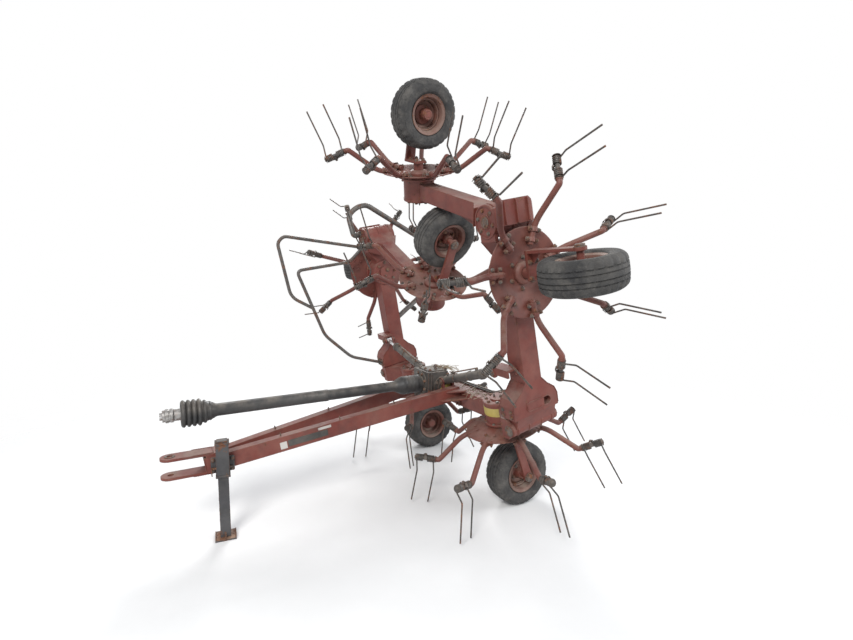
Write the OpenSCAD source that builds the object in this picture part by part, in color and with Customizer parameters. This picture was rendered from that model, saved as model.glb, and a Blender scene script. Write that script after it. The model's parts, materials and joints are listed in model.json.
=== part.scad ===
// Trailed hay tedder with six rotors, its wings folded up for the road.
// Origin: centre of the hitch pin. X: the machine's left. -Y: forwards, along the drawbar. Z: up.

/* [Overall] */
// Distance between neighbouring rotor axes
rotor_pitch = 1150; // [1120:10:1200]
// Forward lean of every rotor axis
spread_tilt = 12; // [8:1:14]
// Height of the hitch pin's centre above the ground
hitch_height = 417; // [330:5:430]
// Hitch pin to the inner rotors' axes, at axle height
drawbar_reach = 1910; // [1800:10:2050]

/* [Fold as it is parked] */
// Left wing, turned up from the working position
left_wing_fold = 89; // [80:1:92]
// Left outer arm, turned in over the machine
left_outer_fold = 73; // [66:1:76]
// Right wing, turned up from the working position
right_wing_fold = 94; // [90:1:96]
// Right outer arm, turned in under the left one
right_outer_fold = 117; // [115:1:122]

/* [Hinges] */
// Middle of the machine to a wing's hinge
hinge_x = 860; // [840:5:900]
// Hinges and beams above the axles
hinge_rise = 450; // [430:5:480]
// Length of a hinge between its outer lugs
hinge_length = 320; // [260:10:360]
// Radius of a hinge pin
hinge_pin_r = 18; // [14:1:22]
// Radius of a hinge barrel
hinge_barrel_r = 38; // [30:1:44]
// Thickness of a hinge lug
lug_t = 20; // [14:1:26]
// Length of an outer arm's hinge between its lugs
outer_hinge_l = 240; // [200:10:260]
// Radius of an outer arm's hinge drum
outer_drum_r = 88; // [76:2:92]
// End of a wing beam from the outer hinge
wing_end_gap = 100; // [98:1:110]
// Length over which a wing beam widens to its hinge
flare_l = 190; // [170:10:220]
// Length of a wing foot at its full width
foot_l = 70; // [60:5:90]
// Reach of the trough under an outer hinge past the hinge's axis
trough_reach = 95; // [80:5:98]
// Depth of that trough below the beams' centre
trough_depth = 105; // [104:1:110]
// Start of an outer arm from its hinge
outer_arm_gap = 105; // [105:1:115]

/* [Beams] */
// Side of the main and wing beams
beam_side = 120; // [100:5:130]
// Side of the outer arms
arm_side = 100; // [80:5:110]
// Radius of a rotor's gear housing
housing_r = 100; // [85:5:110]
// Top of the gear housings above the beam's centre
housing_top = 68; // [62:1:80]

/* [Rotors] */
// Radius of the dished disc
disc_r = 235; // [210:5:260]
// Rim of the disc above the axles
disc_rise = 338; // [325:1:350]
// Depth of the dish
disc_dish = 22; // [14:1:30]
// Thickness of the disc
disc_t = 6; // [4:1:10]
// Number of arms on a rotor
arm_count = 7; // [6:1:7]
// Radius of an arm's tube
arm_tube_r = 16; // [12:1:19]
// Middle of a tine block from the rotor's axis
block_radius = 521; // [500:1:530]
// Tine blocks above the axles
block_rise = 217; // [205:1:230]
// Rise of a tine block towards its outer end, in degrees
block_tilt = 20; // [12:1:26]
// Length of a tine block
block_length = 134; // [120:2:150]
// Radius of a tine block
block_r = 25; // [20:1:30]

/* [Tines] */
// Radius of a tine's wire
tine_r = 4.75; // [4:0.25:6]
// Distance between the two legs of a tine
tine_gap = 106; // [90:2:115]
// Drop from the block to a tine's tip
tip_drop = 274; // [255:1:290]
// How far a tine's tip lies outside its start
tip_out = 88; // [70:2:100]
// How far a tine's tip trails its start
tip_trail = 27; // [15:1:50]
// Drop from the block to a tine's bend
bend_drop = 78; // [60:1:90]
// How far a tine's bend lies outside its start
bend_out = 14; // [5:1:25]
// How far a tine's bend trails its start
bend_trail = 32; // [20:1:50]

/* [Wheels] */
// Outer radius of a tyre
tyre_r = 203; // [195:1:210]
// Width of a tyre
tyre_w = 165; // [150:1:175]
// Radius of the rim's bead seat
rim_r = 101.6; // [98:0.2:105]
// Radius of the rim's flange
flange_r = 117; // [112:1:122]
// Width across the rim's flanges
rim_w = 140; // [125:1:148]
// Wheels behind the rotor axes
wheel_back = 45; // [30:5:60]
// Radius of a wheel's hub
hub_r = 42; // [36:1:50]
// Length of a wheel's hub
hub_w = 120; // [100:2:150]
// Radius of a stub axle
axle_r = 17.5; // [14:0.5:20]
// End of a stub axle outside its leg
axle_end = 8; // [4:1:12]

/* [Wheel legs] */
// Thickness of a leg's plate
leg_t = 16; // [12:1:20]
// Width of a leg's plate
leg_w = 70; // [56:2:90]
// Width of the inner wheels' legs
inner_leg_w = 42; // [36:2:60]
// Radius of a leg's round foot
leg_foot_r = 32; // [28:1:36]
// Gap between a tyre and its leg
leg_gap = 20; // [12:1:30]
// Radius of the fixed shaft that carries a leg
post_r = 30; // [26:1:36]
// Height of the leg's top plate above the axle
leg_top = 285; // [270:1:295]

/* [Drawbar] */
// Width of a drawbar tube
rail_w = 60; // [50:2:80]
// Height of a drawbar tube
rail_h = 88; // [76:2:110]
// Middle of a rail from the centre line at the main beam
rail_spread = 203; // [180:1:260]
// Middle of a rail from the centre line at the tongue
tongue_spread = 31; // [31:1:50]
// Hitch pin to the front ends of the rails
tongue_gap = 175; // [150:5:220]
// Middle of a rail's front end below the hitch pin's middle
rail_drop = 11; // [0:1:20]
// Middle of a rail above the main beam's middle, where they meet
rail_over_beam = 41; // [0:1:50]
// Length of the block between the rails' front ends
tongue_block_l = 120; // [80:5:160]
// Thickness of a hitch plate
hitch_plate_t = 14; // [10:1:20]
// Space between the hitch plates
hitch_space = 90; // [60:2:100]
// Width of the hitch plates
hitch_plate_w = 100; // [80:2:120]
// Radius of the hitch pin's hole
hitch_hole_r = 16; // [12:0.5:18]

/* [Parking jack] */
// Hitch pin to the jack
jack_back = 262; // [240:2:300]
// Side of the jack's leg
jack_leg_side = 55; // [45:1:60]
// Side of the jack's sleeve
jack_sleeve_side = 68; // [62:1:80]
// Height of the sleeve
jack_sleeve_h = 194; // [160:2:220]
// Top of the sleeve above the hitch pin's middle
jack_top = 132; // [110:2:160]
// Top of the leg above the sleeve
jack_leg_out = 10; // [4:2:60]
// Side of the foot plate
jack_foot_side = 110; // [90:5:150]
// Thickness of the foot plate
jack_foot_t = 8; // [6:1:12]

/* [Drive] */
// Height of the drive shaft above the ground
shaft_height = 705; // [690:5:720]
// Front end of the drive shaft ahead of the hitch pin
shaft_ahead = 25; // [0:5:380]
// Radius of the drive shaft's guard tube
guard_tube_r = 36; // [30:1:42]
// Radius of a guard cone
guard_cone_r = 62; // [52:1:70]
// Radius of the guard's front bell
guard_bell_r = 76; // [62:1:80]
// Length of a guard cone
guard_cone_l = 190; // [150:5:220]
// Radius of the drive shaft
shaft_r = 21; // [17:1:25]
// Radius of the splined bore, 35 mm across
spline_bore_r = 17.5; // [17:0.1:18]
// Depth of the splined bore
spline_bore_l = 80; // [60:2:90]
// Radius of a yoke
yoke_r = 46; // [40:1:50]
// Half width of the input gearbox
gearbox_half_w = 105; // [90:5:120]
// Length of the input gearbox ahead of the main beam
gearbox_l = 190; // [150:5:220]

/* [Fold cylinders] */
// Barrel pivot from the middle of the machine
cyl_root_x = 131; // [129:1:133]
// Barrel pivot above the axles
cyl_root_rise = 580; // [575:1:590]
// Cylinder ahead of the beams' centre
cyl_ahead = 100; // [96:1:115]
// Lug on the wing, outwards of the hinge when it works
cyl_lug_x = 310; // [290:5:330]
// Lug on the wing above the beam's centre
cyl_lug_rise = 110; // [100:1:120]
// Radius of a cylinder's barrel
cyl_r = 28; // [24:1:32]
// Length of a barrel from its pivot
cyl_barrel_l = 480; // [460:5:500]
// Radius of a cylinder's rod
rod_r = 14; // [10:1:16]
// Radius of the cylinders' pins
cyl_pin_r = 12; // [10:1:14]
// Radius of a rod's eye
rod_eye_r = 22; // [18:1:24]
// Width of a rod's eye
rod_eye_w = 40; // [34:2:44]

/* [Guard tubes on the right wing] */
// Radius of the front guards' tube
guard_r = 12.5; // [10:0.5:15]
// Radius of the rear hoop's tube
hoop_r = 21; // [17:1:24]
// Height of the hoop's tube above the axles
hoop_z = 352; // [345:1:360]
// Side of the pads that hold the guards
pad_side = 50; // [40:2:56]
// Thickness of the pads
pad_t = 8; // [6:1:12]

/* [Fits] */
// Running clearance round a pin or a shaft
pin_play = 0.08; // [0.05:0.01:0.1]
// Gap between faces that turn past one another
face_gap = 1; // [0.5:0.1:2]
// Gap between a seated piece and its seat
seat_gap = 0.3; // [0.2:0.1:0.5]

/* [Hidden] */
$fn = 48;

// One row for each rotor: name, side (1 left, -1 right), place (0 inner, 1 wing, 2 outer), turn of its arms
ROTORS = [
    ["left_inner", 1, 0, 37],
    ["left_wing", 1, 1, 20.5],
    ["left_outer", 1, 2, 34.5],
    ["right_inner", -1, 0, 12],
    ["right_wing", -1, 1, 39],
    ["right_outer", -1, 2, 12]
];
NAME = 0;
SIDE = 1;
PLACE = 2;
TURN = 3;

// Which sub-part to draw, or all of them

red = [0.55, 0.17, 0.12];
dark = [0.12, 0.12, 0.13];
steel = [0.55, 0.55, 0.55];
black = [0.07, 0.07, 0.07];

ground = -hitch_height;
rig_z = ground + tyre_r - wheel_back * sin(spread_tilt);
outer_hinge_x = hinge_x + rotor_pitch;
beam_half = beam_side / 2;
arm_half = arm_side / 2;
hinge_gap = hinge_barrel_r + 32;
disc_top = disc_rise + disc_dish + disc_t;
leg_x = tyre_w / 2 + leg_gap;
leg_under = leg_top - leg_t;

// Where the main beam lies in the machine's level frame
main_beam_y = drawbar_reach - hinge_rise * sin(spread_tilt);
main_beam_z = rig_z + hinge_rise * cos(spread_tilt);

function wing_fold(side) = side > 0 ? left_wing_fold : right_wing_fold;
function outer_fold(side) = side > 0 ? left_outer_fold : right_outer_fold;
function rotor_x(place) = (0.5 + place) * rotor_pitch;

// Turns a point of the x-z plane about a centre, from x towards z
function turned(p, c, a) = [
    c[0] + (p[0] - c[0]) * cos(a) - (p[1] - c[1]) * sin(a),
    c[1] + (p[0] - c[0]) * sin(a) + (p[1] - c[1]) * cos(a)
];

// Fold cylinder: pivot, lug in the work position, and the lug as the wing stands
cyl_root = [cyl_root_x, cyl_root_rise];
cyl_lug = [hinge_x + cyl_lug_x, hinge_rise + cyl_lug_rise];
function lug_now(side) = turned(cyl_lug, [hinge_x, hinge_rise], wing_fold(side));
function cyl_reach(side) = norm(lug_now(side) - cyl_root);
function cyl_angle(side) = atan2(lug_now(side)[1] - cyl_root[1], lug_now(side)[0] - cyl_root[0]);

// The tilted frame of the rotors: its origin is below the main beam, at axle height
module rig() {
    translate([0, drawbar_reach, rig_z])
        rotate([spread_tilt, 0, 0])
            children();
}

module on_side(side) {
    if (side > 0)
        children();
    else
        mirror([1, 0, 0]) children();
}

module fold(x, angle) {
    translate([x, 0, hinge_rise])
        rotate([0, -angle, 0])
            translate([-x, 0, -hinge_rise])
                children();
}

// Places what is drawn in the work position where it is parked
module parked(side, place) {
    rig()
        on_side(side)
            fold(hinge_x, place > 0 ? wing_fold(side) : 0)
                fold(outer_hinge_x, place > 1 ? outer_fold(side) : 0)
                    children();
}

// A rod along the path, with a slightly thicker ball at each bend
bend_swell = 1.06;
module rod_path(points, r) {
    for (i = [0 : len(points) - 2]) {
        step = points[i + 1] - points[i];
        length = norm(step);
        translate(points[i])
            rotate([0, acos(step[2] / length), atan2(step[1], step[0])])
                cylinder(r = r, h = length, $fn = 16);
        if (i > 0)
            translate(points[i]) sphere(r = r * bend_swell, $fn = 16);
    }
}

// A box between two points, with its height in the vertical plane through them
module rail(from, to, w, h) {
    step = to - from;
    length = norm(step);
    translate(from)
        rotate([0, 0, atan2(step[1], step[0])])
            rotate([0, -asin(step[2] / length), 0])
                translate([0, -w / 2, -h / 2])
                    cube([length, w, h]);
}

// Hinge halves, drawn with the hinge's axis at x = 0, z = 0 along y
module hinge_lugs(length, r, back, half) {
    for (s = [-1, 1])
        translate([0, s * (length - lug_t) / 2, 0])
            difference() {
                union() {
                    rotate([90, 0, 0]) cylinder(r = r, h = lug_t, center = true);
                    translate([-back - 4, -lug_t / 2, -half]) cube([back + 4 - 0.6 * r, lug_t, 2 * half]);
                    rotate([90, 0, 0])
                        linear_extrude(height = lug_t, center = true)
                            polygon([
                                [-0.6 * r - 4, -half], [-0.6 * r, -half], [0, -r + 3],
                                [0, r - 3], [-0.6 * r, half], [-0.6 * r - 4, half]
                            ]);
                }
                rotate([90, 0, 0]) cylinder(r = hinge_pin_r + pin_play, h = lug_t + 2, center = true);
            }
}

module hinge_barrel(length, r, ahead, half) {
    barrel = length - 2 * lug_t - 2 * face_gap;
    rotate([90, 0, 0]) cylinder(r = r, h = barrel, center = true);
    rotate([90, 0, 0]) cylinder(r = hinge_pin_r, h = length + 16, center = true);
    rotate([90, 0, 0])
        linear_extrude(height = barrel, center = true)
            polygon([[0, -r + 3], [0, r - 3], [ahead + 4, half], [ahead + 4, -half]]);
}

// End plate that spreads a beam out to the length of its hinge
module hinge_flare(length, from, to, half) {
    linear_extrude(height = 2 * half, center = true)
        polygon([[from, -length / 2], [from, length / 2], [to, half], [to, -half]]);
}

// Foot of a wing: as wide as its hinge at first, then drawn in by round shoulders to the beam
module wing_foot(length, from, half) {
    neck = (flare_l - foot_l) / 3;
    step = (length / 2 - half) / 6;
    difference() {
        linear_extrude(height = 2 * half, center = true)
            polygon([
                [from, -length / 2], [from + foot_l, -length / 2], [from + foot_l + neck, -length / 2 + step],
                [from + foot_l + 2 * neck, -half - 2 * step], [from + flare_l, -half],
                [from + flare_l, half], [from + foot_l + 2 * neck, half + 2 * step],
                [from + foot_l + neck, length / 2 - step], [from + foot_l, length / 2], [from, length / 2]
            ]);
        translate([from + foot_l - 20, 20, -half]) foot_slot();
    }
}

// Long hole in the outer face of a wing's foot
slot_r = 26;
slot_l = 125;
slot_deep = 35;
module foot_slot() {
    for (s = [-1, 1])
        translate([0, s * slot_l / 2, 0]) cylinder(r = slot_r, h = 2 * slot_deep, center = true);
    cube([2 * slot_r - 1, slot_l, 2 * slot_deep], center = true);
}

// Trough that covers an outer hinge from below
trough_t = 8;
trough_half = outer_hinge_l / 2 + 2;
module hinge_trough() {
    deep = trough_depth;
    difference() {
        rotate([90, 0, 90])
            translate([0, 0, -33])
                linear_extrude(height = trough_reach + 33)
                    polygon([
                        [-trough_half, -64], [-trough_half, 16 - deep], [-trough_half + 18, -deep],
                        [trough_half - 18, -deep], [trough_half, 16 - deep], [trough_half, -64],
                        [trough_half - trough_t, -64], [trough_half - trough_t, 18 - deep],
                        [trough_half - 20, trough_t - deep], [20 - trough_half, trough_t - deep],
                        [trough_t - trough_half, 18 - deep], [trough_t - trough_half, -64]
                    ]);
        for (s = [-1, 1])
            translate([trough_reach, s * trough_half, -deep - 1])
                rotate([0, 0, s * 45])
                    cube([50, 50, 2 * deep], center = true);
    }
}

module gear_housing(x) {
    translate([x, 0, disc_top + face_gap])
        cylinder(r = housing_r, h = hinge_rise + housing_top - disc_top - face_gap);
    translate([x, 0, hinge_rise + housing_top - 1])
        cylinder(r = housing_r * 0.55, h = 14);
}

module main_beam() color(red) rig() {
    translate([0, 0, hinge_rise])
        cube([2 * (hinge_x - hinge_gap), beam_side, beam_side], center = true);
    for (s = [-1, 1])
        on_side(s) {
            gear_housing(rotor_x(0));
            translate([hinge_x, 0, hinge_rise])
                hinge_lugs(hinge_length, hinge_barrel_r, hinge_gap, beam_half);
            translate([0, 0, hinge_rise])
                hinge_flare(hinge_length, hinge_x - hinge_gap, hinge_x - hinge_gap - 130, beam_half);
            cylinder_ears();
        }
}

// Two ears on the main beam that hold the foot of a fold cylinder, between gearbox and rail
root_ear_w = 44;
module cylinder_ears() {
    for (s = [-1, 1])
        translate([0, -cyl_ahead + s * (cyl_r + 8), 0])
            difference() {
                union() {
                    translate([cyl_root[0], 0, cyl_root[1]])
                        rotate([90, 0, 0]) cylinder(r = 26, h = 12, center = true);
                    translate([cyl_root[0] - root_ear_w / 2, -6, hinge_rise])
                        cube([root_ear_w, 12, cyl_root[1] - hinge_rise]);
                }
                translate([cyl_root[0], 0, cyl_root[1]])
                    rotate([90, 0, 0]) cylinder(r = cyl_pin_r + pin_play, h = 14, center = true);
            }
    translate([cyl_root[0] - root_ear_w / 2, -cyl_ahead - cyl_r - 14, hinge_rise - 10])
        cube([root_ear_w, cyl_ahead + cyl_r + 14 - beam_half + 2, 20]);
}

bore_start = 60;
module cylinder_barrel(side) color(dark) rig() on_side(side)
    translate([cyl_root[0], -cyl_ahead, cyl_root[1]])
        rotate([0, -cyl_angle(side), 0]) {
            rotate([90, 0, 0]) cylinder(r = 22, h = 2 * cyl_r + 2 - face_gap, center = true);
            rotate([90, 0, 0]) cylinder(r = cyl_pin_r, h = 2 * cyl_r + 40, center = true);
            difference() {
                rotate([0, 90, 0]) cylinder(r = cyl_r, h = cyl_barrel_l);
                translate([bore_start, 0, 0])
                    rotate([0, 90, 0]) cylinder(r = rod_r + pin_play, h = cyl_barrel_l);
            }
        }

module cylinder_rod(side) color(steel) rig() on_side(side)
    translate([cyl_root[0], -cyl_ahead, cyl_root[1]])
        rotate([0, -cyl_angle(side), 0]) {
            translate([bore_start + 6, 0, 0])
                rotate([0, 90, 0]) cylinder(r = rod_r, h = cyl_reach(side) - bore_start - 6);
            translate([cyl_reach(side), 0, 0])
                rotate([90, 0, 0]) cylinder(r = rod_eye_r, h = rod_eye_w, center = true);
        }

// Wheel leg with its stub axle, held by a fixed post that goes up through the rotor into its housing
leg_root = 5;
module wheel_leg(place, root) {
    top_w = place == 0 ? inner_leg_w : leg_w;
    translate([rotor_x(place), 0, 0]) {
        translate([0, 0, leg_under])
            cylinder(r = post_r, h = disc_top + face_gap - leg_under + root);
        translate([-post_r - 6, -leg_w / 2, leg_under])
            cube([leg_x + leg_t + post_r + 6, leg_w, leg_t]);
        rotate([90, 0, 90])
            translate([0, 0, leg_x])
                linear_extrude(height = leg_t)
                    union() {
                        polygon([
                            [-top_w / 2, leg_top], [top_w / 2, leg_top],
                            [wheel_back + leg_foot_r - 4, 0], [wheel_back - leg_foot_r + 4, 0]
                        ]);
                        translate([wheel_back, 0]) circle(r = leg_foot_r);
                    }
        translate([-hub_w / 2, wheel_back, 0])
            rotate([0, 90, 0]) cylinder(r = axle_r, h = hub_w / 2 + leg_x + leg_t + axle_end);
    }
}

module inner_wheel_legs() color(red)
    for (s = [-1, 1])
        parked(s, 0) wheel_leg(0, 0);

module wing_beam(side) color(red) parked(side, 1) {
    first = hinge_x + hinge_gap;
    last = outer_hinge_x - wing_end_gap;
    translate([first, -beam_half, hinge_rise - beam_half])
        cube([last - first, beam_side, beam_side]);
    translate([hinge_x, 0, hinge_rise])
        hinge_barrel(hinge_length, hinge_barrel_r, hinge_gap, beam_half);
    translate([0, 0, hinge_rise]) wing_foot(hinge_length, first, beam_half);
    gear_housing(rotor_x(1));
    wheel_leg(1, leg_root);
    translate([outer_hinge_x, 0, hinge_rise])
        hinge_lugs(outer_hinge_l, outer_drum_r, wing_end_gap, beam_half);
    translate([0, 0, hinge_rise]) hinge_flare(outer_hinge_l, last, last - 80, beam_half);
    translate([outer_hinge_x, 0, hinge_rise]) hinge_trough();
}

// Two ears that hold the eye of a fold cylinder's rod, open towards the rod
ear_t = 12;
ear_gap = 5;
module rod_ears(side) color(red) parked(side, 1) {
    ear_y = rod_eye_w / 2 + ear_gap;
    foot = hinge_rise - 20;
    for (s = [-1, 1])
        translate([cyl_lug[0], -cyl_ahead + s * (ear_y + ear_t / 2), 0]) {
            translate([0, 0, cyl_lug[1]])
                rotate([90, 0, 0]) cylinder(r = 26, h = ear_t, center = true);
            translate([-4, -ear_t / 2, foot]) cube([38, ear_t, cyl_lug[1] - foot]);
            translate([0, s * (ear_t / 2 + 3), cyl_lug[1]])
                rotate([90, 0, 0]) cylinder(r = cyl_pin_r + 5, h = 8, center = true);
        }
    translate([cyl_lug[0] + rod_eye_r + ear_gap + 1, -cyl_ahead - ear_y - ear_t, foot])
        cube([ear_t, cyl_ahead + ear_y + ear_t - beam_half - seat_gap, cyl_lug[1] - foot + 10]);
}

module outer_arm(side) color(red) parked(side, 2) {
    first = outer_hinge_x + outer_arm_gap;
    last = rotor_x(2) + housing_r - 10;
    translate([first, -arm_half, hinge_rise - arm_half])
        cube([last - first, arm_side, arm_side]);
    translate([outer_hinge_x, 0, hinge_rise])
        hinge_barrel(outer_hinge_l, outer_drum_r, outer_arm_gap, arm_half);
    translate([0, 0, hinge_rise]) hinge_flare(outer_hinge_l, first, first + 90, arm_half);
    gear_housing(rotor_x(2));
    wheel_leg(2, leg_root);
}

// Guard tubes of the right wing: two bows ahead of its rotor, and a hoop round the back of it
lug_face = outer_hinge_l / 2 + seat_gap;
foot_face = hinge_length / 2 + seat_gap;
module wing_guards() color(steel) parked(-1, 1) {
    z = hinge_rise;
    hoop_end = 1300;
    translate([outer_hinge_x - 80, -lug_face - pad_t, z - pad_side / 2])
        cube([pad_side, pad_t, pad_side]);
    translate([hinge_x + hinge_gap + 10, -foot_face - pad_t, z - pad_side / 2])
        cube([pad_side, pad_t, pad_side]);
    rod_path([
        [outer_hinge_x - 50, -lug_face - pad_t - 1, z], [1860, -270, z], [1880, -700, z], [1330, -590, z],
        [1090, -410, z], [hinge_x + hinge_gap + 35, -foot_face - pad_t - 1, z]
    ], guard_r);
    rod_path([
        [outer_hinge_x - 62, -lug_face - pad_t - 1, z - 20], [2150, -735, z - 20], [2110, -790, z - 20],
        [1690, -780, z - 20], [1570, -640, z - 10]
    ], guard_r);
    translate([outer_hinge_x + 20, -lug_face - pad_t, z - 36 - pad_side / 2])
        cube([pad_side, pad_t, pad_side]);
    rod_path([
        [outer_hinge_x + 42, -lug_face - 6, z - 36], [outer_hinge_x + 42, -lug_face - 60, z - 36],
        [2215, -150 - hoop_r, hoop_z], [2268, -90, hoop_z], [2278, 0, hoop_z], [1850, 540, hoop_z],
        [1500, 540, hoop_z], [hoop_end, beam_half + seat_gap + pad_t + 3, z - 20]
    ], hoop_r);
    translate([hoop_end - pad_side / 2, beam_half + seat_gap, z - 20 - pad_side / 2])
        cube([pad_side, pad_t, pad_side]);
}

// Dished disc with its arms, seen in the work position
module rotor(row) color(red) parked(row[SIDE], row[PLACE])
    translate([rotor_x(row[PLACE]), 0, 0]) {
        rotate_extrude()
            polygon([
                [post_r + face_gap, disc_top - disc_t], [disc_r * 0.45, disc_top - disc_t],
                [disc_r * 0.8, disc_rise], [disc_r, disc_rise - 8], [disc_r, disc_rise - 8 + disc_t],
                [disc_r * 0.8, disc_rise + disc_t + 2], [disc_r * 0.45, disc_top], [post_r + face_gap, disc_top]
            ]);
        for (k = [0 : arm_count - 1])
            rotate([0, 0, row[TURN] + k * 360 / arm_count])
                rotor_arm();
    }

// Point on a tine block's own axis, so far outwards of its middle
function on_block(out) = [block_radius + out * cos(block_tilt), 0, block_rise + out * sin(block_tilt)];
arm_bend_back = 22;

module rotor_arm() {
    rod_path([
        [disc_r * 0.62, 0, disc_rise - 4],
        [disc_r + 25, 0, disc_rise - 16],
        on_block(-block_length / 2 - arm_bend_back),
        on_block(-block_length / 2)
    ], arm_tube_r);
}

module tines(row) color(black) parked(row[SIDE], row[PLACE])
    translate([rotor_x(row[PLACE]), 0, 0])
        for (k = [0 : arm_count - 1])
            rotate([0, 0, row[TURN] + k * 360 / arm_count])
                double_tine(row[PLACE] == 1 ? -1 : 1);

// Spring block in line with the arm's end, and its two legs, which trail towards +y or -y
coil_side = 11;
module double_tine(way) {
    translate(on_block(seat_gap - block_length / 2))
        rotate([0, 90 - block_tilt, 0]) cylinder(r = block_r - 2, h = block_length);
    for (s = [-1, 1]) {
        start = on_block(s * tine_gap / 2) - [0, way * coil_side, 0];
        rod_path([
            start,
            start + [bend_out, way * bend_trail, -bend_drop],
            start + [tip_out, way * tip_trail, -tip_drop]
        ], tine_r);
    }
}

module wheel_place(row) parked(row[SIDE], row[PLACE])
    translate([rotor_x(row[PLACE]), wheel_back, 0])
        rotate([0, 90, 0])
            children();

module rim(row) color(steel) wheel_place(row)
    rotate_extrude()
        polygon([
            [axle_r + pin_play, -hub_w / 2], [hub_r, -hub_w / 2], [hub_r, -6], [rim_r - 8, -6],
            [rim_r - 8, -rim_w / 2 + 8], [flange_r - 4, -rim_w / 2], [flange_r, -rim_w / 2],
            [flange_r, -rim_w / 2 + 5], [rim_r, -rim_w / 2 + 5],
            [rim_r, rim_w / 2 - 5], [flange_r, rim_w / 2 - 5], [flange_r, rim_w / 2],
            [flange_r - 4, rim_w / 2], [rim_r - 8, rim_w / 2 - 8], [rim_r - 8, 6], [hub_r, 6],
            [hub_r, hub_w / 2], [axle_r + pin_play, hub_w / 2]
        ]);

module tyre(row) color(black) wheel_place(row)
    rotate_extrude($fn = 64)
        polygon([
            [rim_r + seat_gap, -rim_w / 2 + 6 + seat_gap], [flange_r + 4, -rim_w / 2 + 5 + seat_gap],
            [flange_r + 22, -tyre_w / 2], [tyre_r - 34, -tyre_w / 2], [tyre_r - 8, -tyre_w / 2 + 16],
            [tyre_r, -tyre_w / 4], [tyre_r, tyre_w / 4],
            [tyre_r - 8, tyre_w / 2 - 16], [tyre_r - 34, tyre_w / 2], [flange_r + 22, tyre_w / 2],
            [flange_r + 4, rim_w / 2 - 5 - seat_gap], [rim_r + seat_gap, rim_w / 2 - 6 - seat_gap]
        ]);

tongue_y = tongue_gap;
rail_end = [rail_spread, main_beam_y, main_beam_z + rail_over_beam];

module drawbar() color(red) {
    difference() {
        union() {
            for (s = [-1, 1])
                rail([s * tongue_spread, tongue_y, -rail_drop], [s * rail_end[0], rail_end[1], rail_end[2]],
                     rail_w, rail_h);
            translate([-tongue_spread - rail_w / 2 + 2, tongue_y, -hitch_space / 2 - hitch_plate_t + 1])
                cube([2 * tongue_spread + rail_w - 4, tongue_block_l, hitch_space + 2 * hitch_plate_t - 2]);
            for (s = [-1, 1])
                translate([-hitch_plate_w / 2, 0, s * (hitch_space + hitch_plate_t) / 2 - hitch_plate_t / 2])
                    cube([hitch_plate_w, tongue_y + 40, hitch_plate_t]);
            for (s = [-1, 1])
                translate([0, 0, s * (hitch_space + hitch_plate_t) / 2])
                    cylinder(r = hitch_plate_w / 2, h = hitch_plate_t, center = true);
        }
        cylinder(r = hitch_hole_r, h = hitch_space + 4 * hitch_plate_t, center = true);
        main_beam_cut();
    }
}

// Everything behind the main beam's front face
module main_beam_cut() {
    rig()
        translate([-hinge_x, -beam_half - seat_gap, -hinge_x])
            cube([2 * hinge_x, 2 * hinge_x, 3 * hinge_x]);
}

gearbox_z = ground + shaft_height;
gearbox_front = main_beam_y - beam_half - gearbox_l;

module input_gearbox() color(dark) {
    difference() {
        union() {
            translate([-gearbox_half_w, gearbox_front, gearbox_z - 110])
                cube([2 * gearbox_half_w, gearbox_l + beam_half, 200]);
            translate([0, gearbox_front + 2, gearbox_z])
                rotate([90, 0, 0]) cylinder(r = guard_cone_r - 2, h = boss_l + 2);
        }
        main_beam_cut();
        translate([0, gearbox_front + 60, gearbox_z])
            rotate([90, 0, 0]) cylinder(r = shaft_r + pin_play, h = 100);
    }
}

shaft_front = -shaft_ahead;
guard_front = shaft_front + spline_bore_l + 5;
boss_l = 20;
guard_back = gearbox_front - boss_l - seat_gap;

module drive_shaft() color(steel)
    translate([0, 0, gearbox_z]) {
        difference() {
            union() {
                translate([0, shaft_front, 0])
                    rotate([-90, 0, 0]) cylinder(r = shaft_r, h = gearbox_front + 58 - shaft_front);
                translate([0, shaft_front, 0])
                    rotate([-90, 0, 0]) cylinder(r = yoke_r * 0.7, h = 110);
            }
            translate([0, shaft_front - 1, 0])
                rotate([-90, 0, 0]) cylinder(r = spline_bore_r, h = spline_bore_l + 1);
        }
        translate([0, shaft_front + 130, 0])
            rotate([-90, 0, 0]) cylinder(r = yoke_r, h = 60, center = true);
        translate([0, guard_back - 60, 0])
            rotate([-90, 0, 0]) cylinder(r = yoke_r, h = 80, center = true);
    }

module shaft_guard() color(black)
    translate([0, 0, gearbox_z])
        rotate([-90, 0, 0])
            rotate_extrude()
                polygon([
                    [guard_bell_r - 4, guard_front], [guard_bell_r, guard_front],
                    [guard_bell_r, guard_front + guard_cone_l * 0.7],
                    [guard_tube_r, guard_front + guard_cone_l],
                    [guard_tube_r, guard_back - guard_cone_l],
                    [guard_cone_r, guard_back - guard_cone_l * 0.7],
                    [guard_cone_r, guard_back], [guard_cone_r - 4, guard_back],
                    [guard_cone_r - 4, guard_back - guard_cone_l * 0.7],
                    [guard_tube_r - 4, guard_back - guard_cone_l],
                    [guard_tube_r - 4, guard_front + guard_cone_l],
                    [guard_bell_r - 4, guard_front + guard_cone_l * 0.7]
                ]);

jack_play = 0.5;
rail_yaw = atan2(rail_end[0] - tongue_spread, rail_end[1] - tongue_y);
rail_x_at_jack = tongue_spread + (jack_back - tongue_y) * tan(rail_yaw);

// Beside the left rail, square to it
module beside_rail() {
    translate([rail_x_at_jack, jack_back, 0])
        rotate([0, 0, -rail_yaw])
            translate([rail_w / 2 + seat_gap + jack_sleeve_side / 2, 0, 0])
                children();
}

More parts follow.
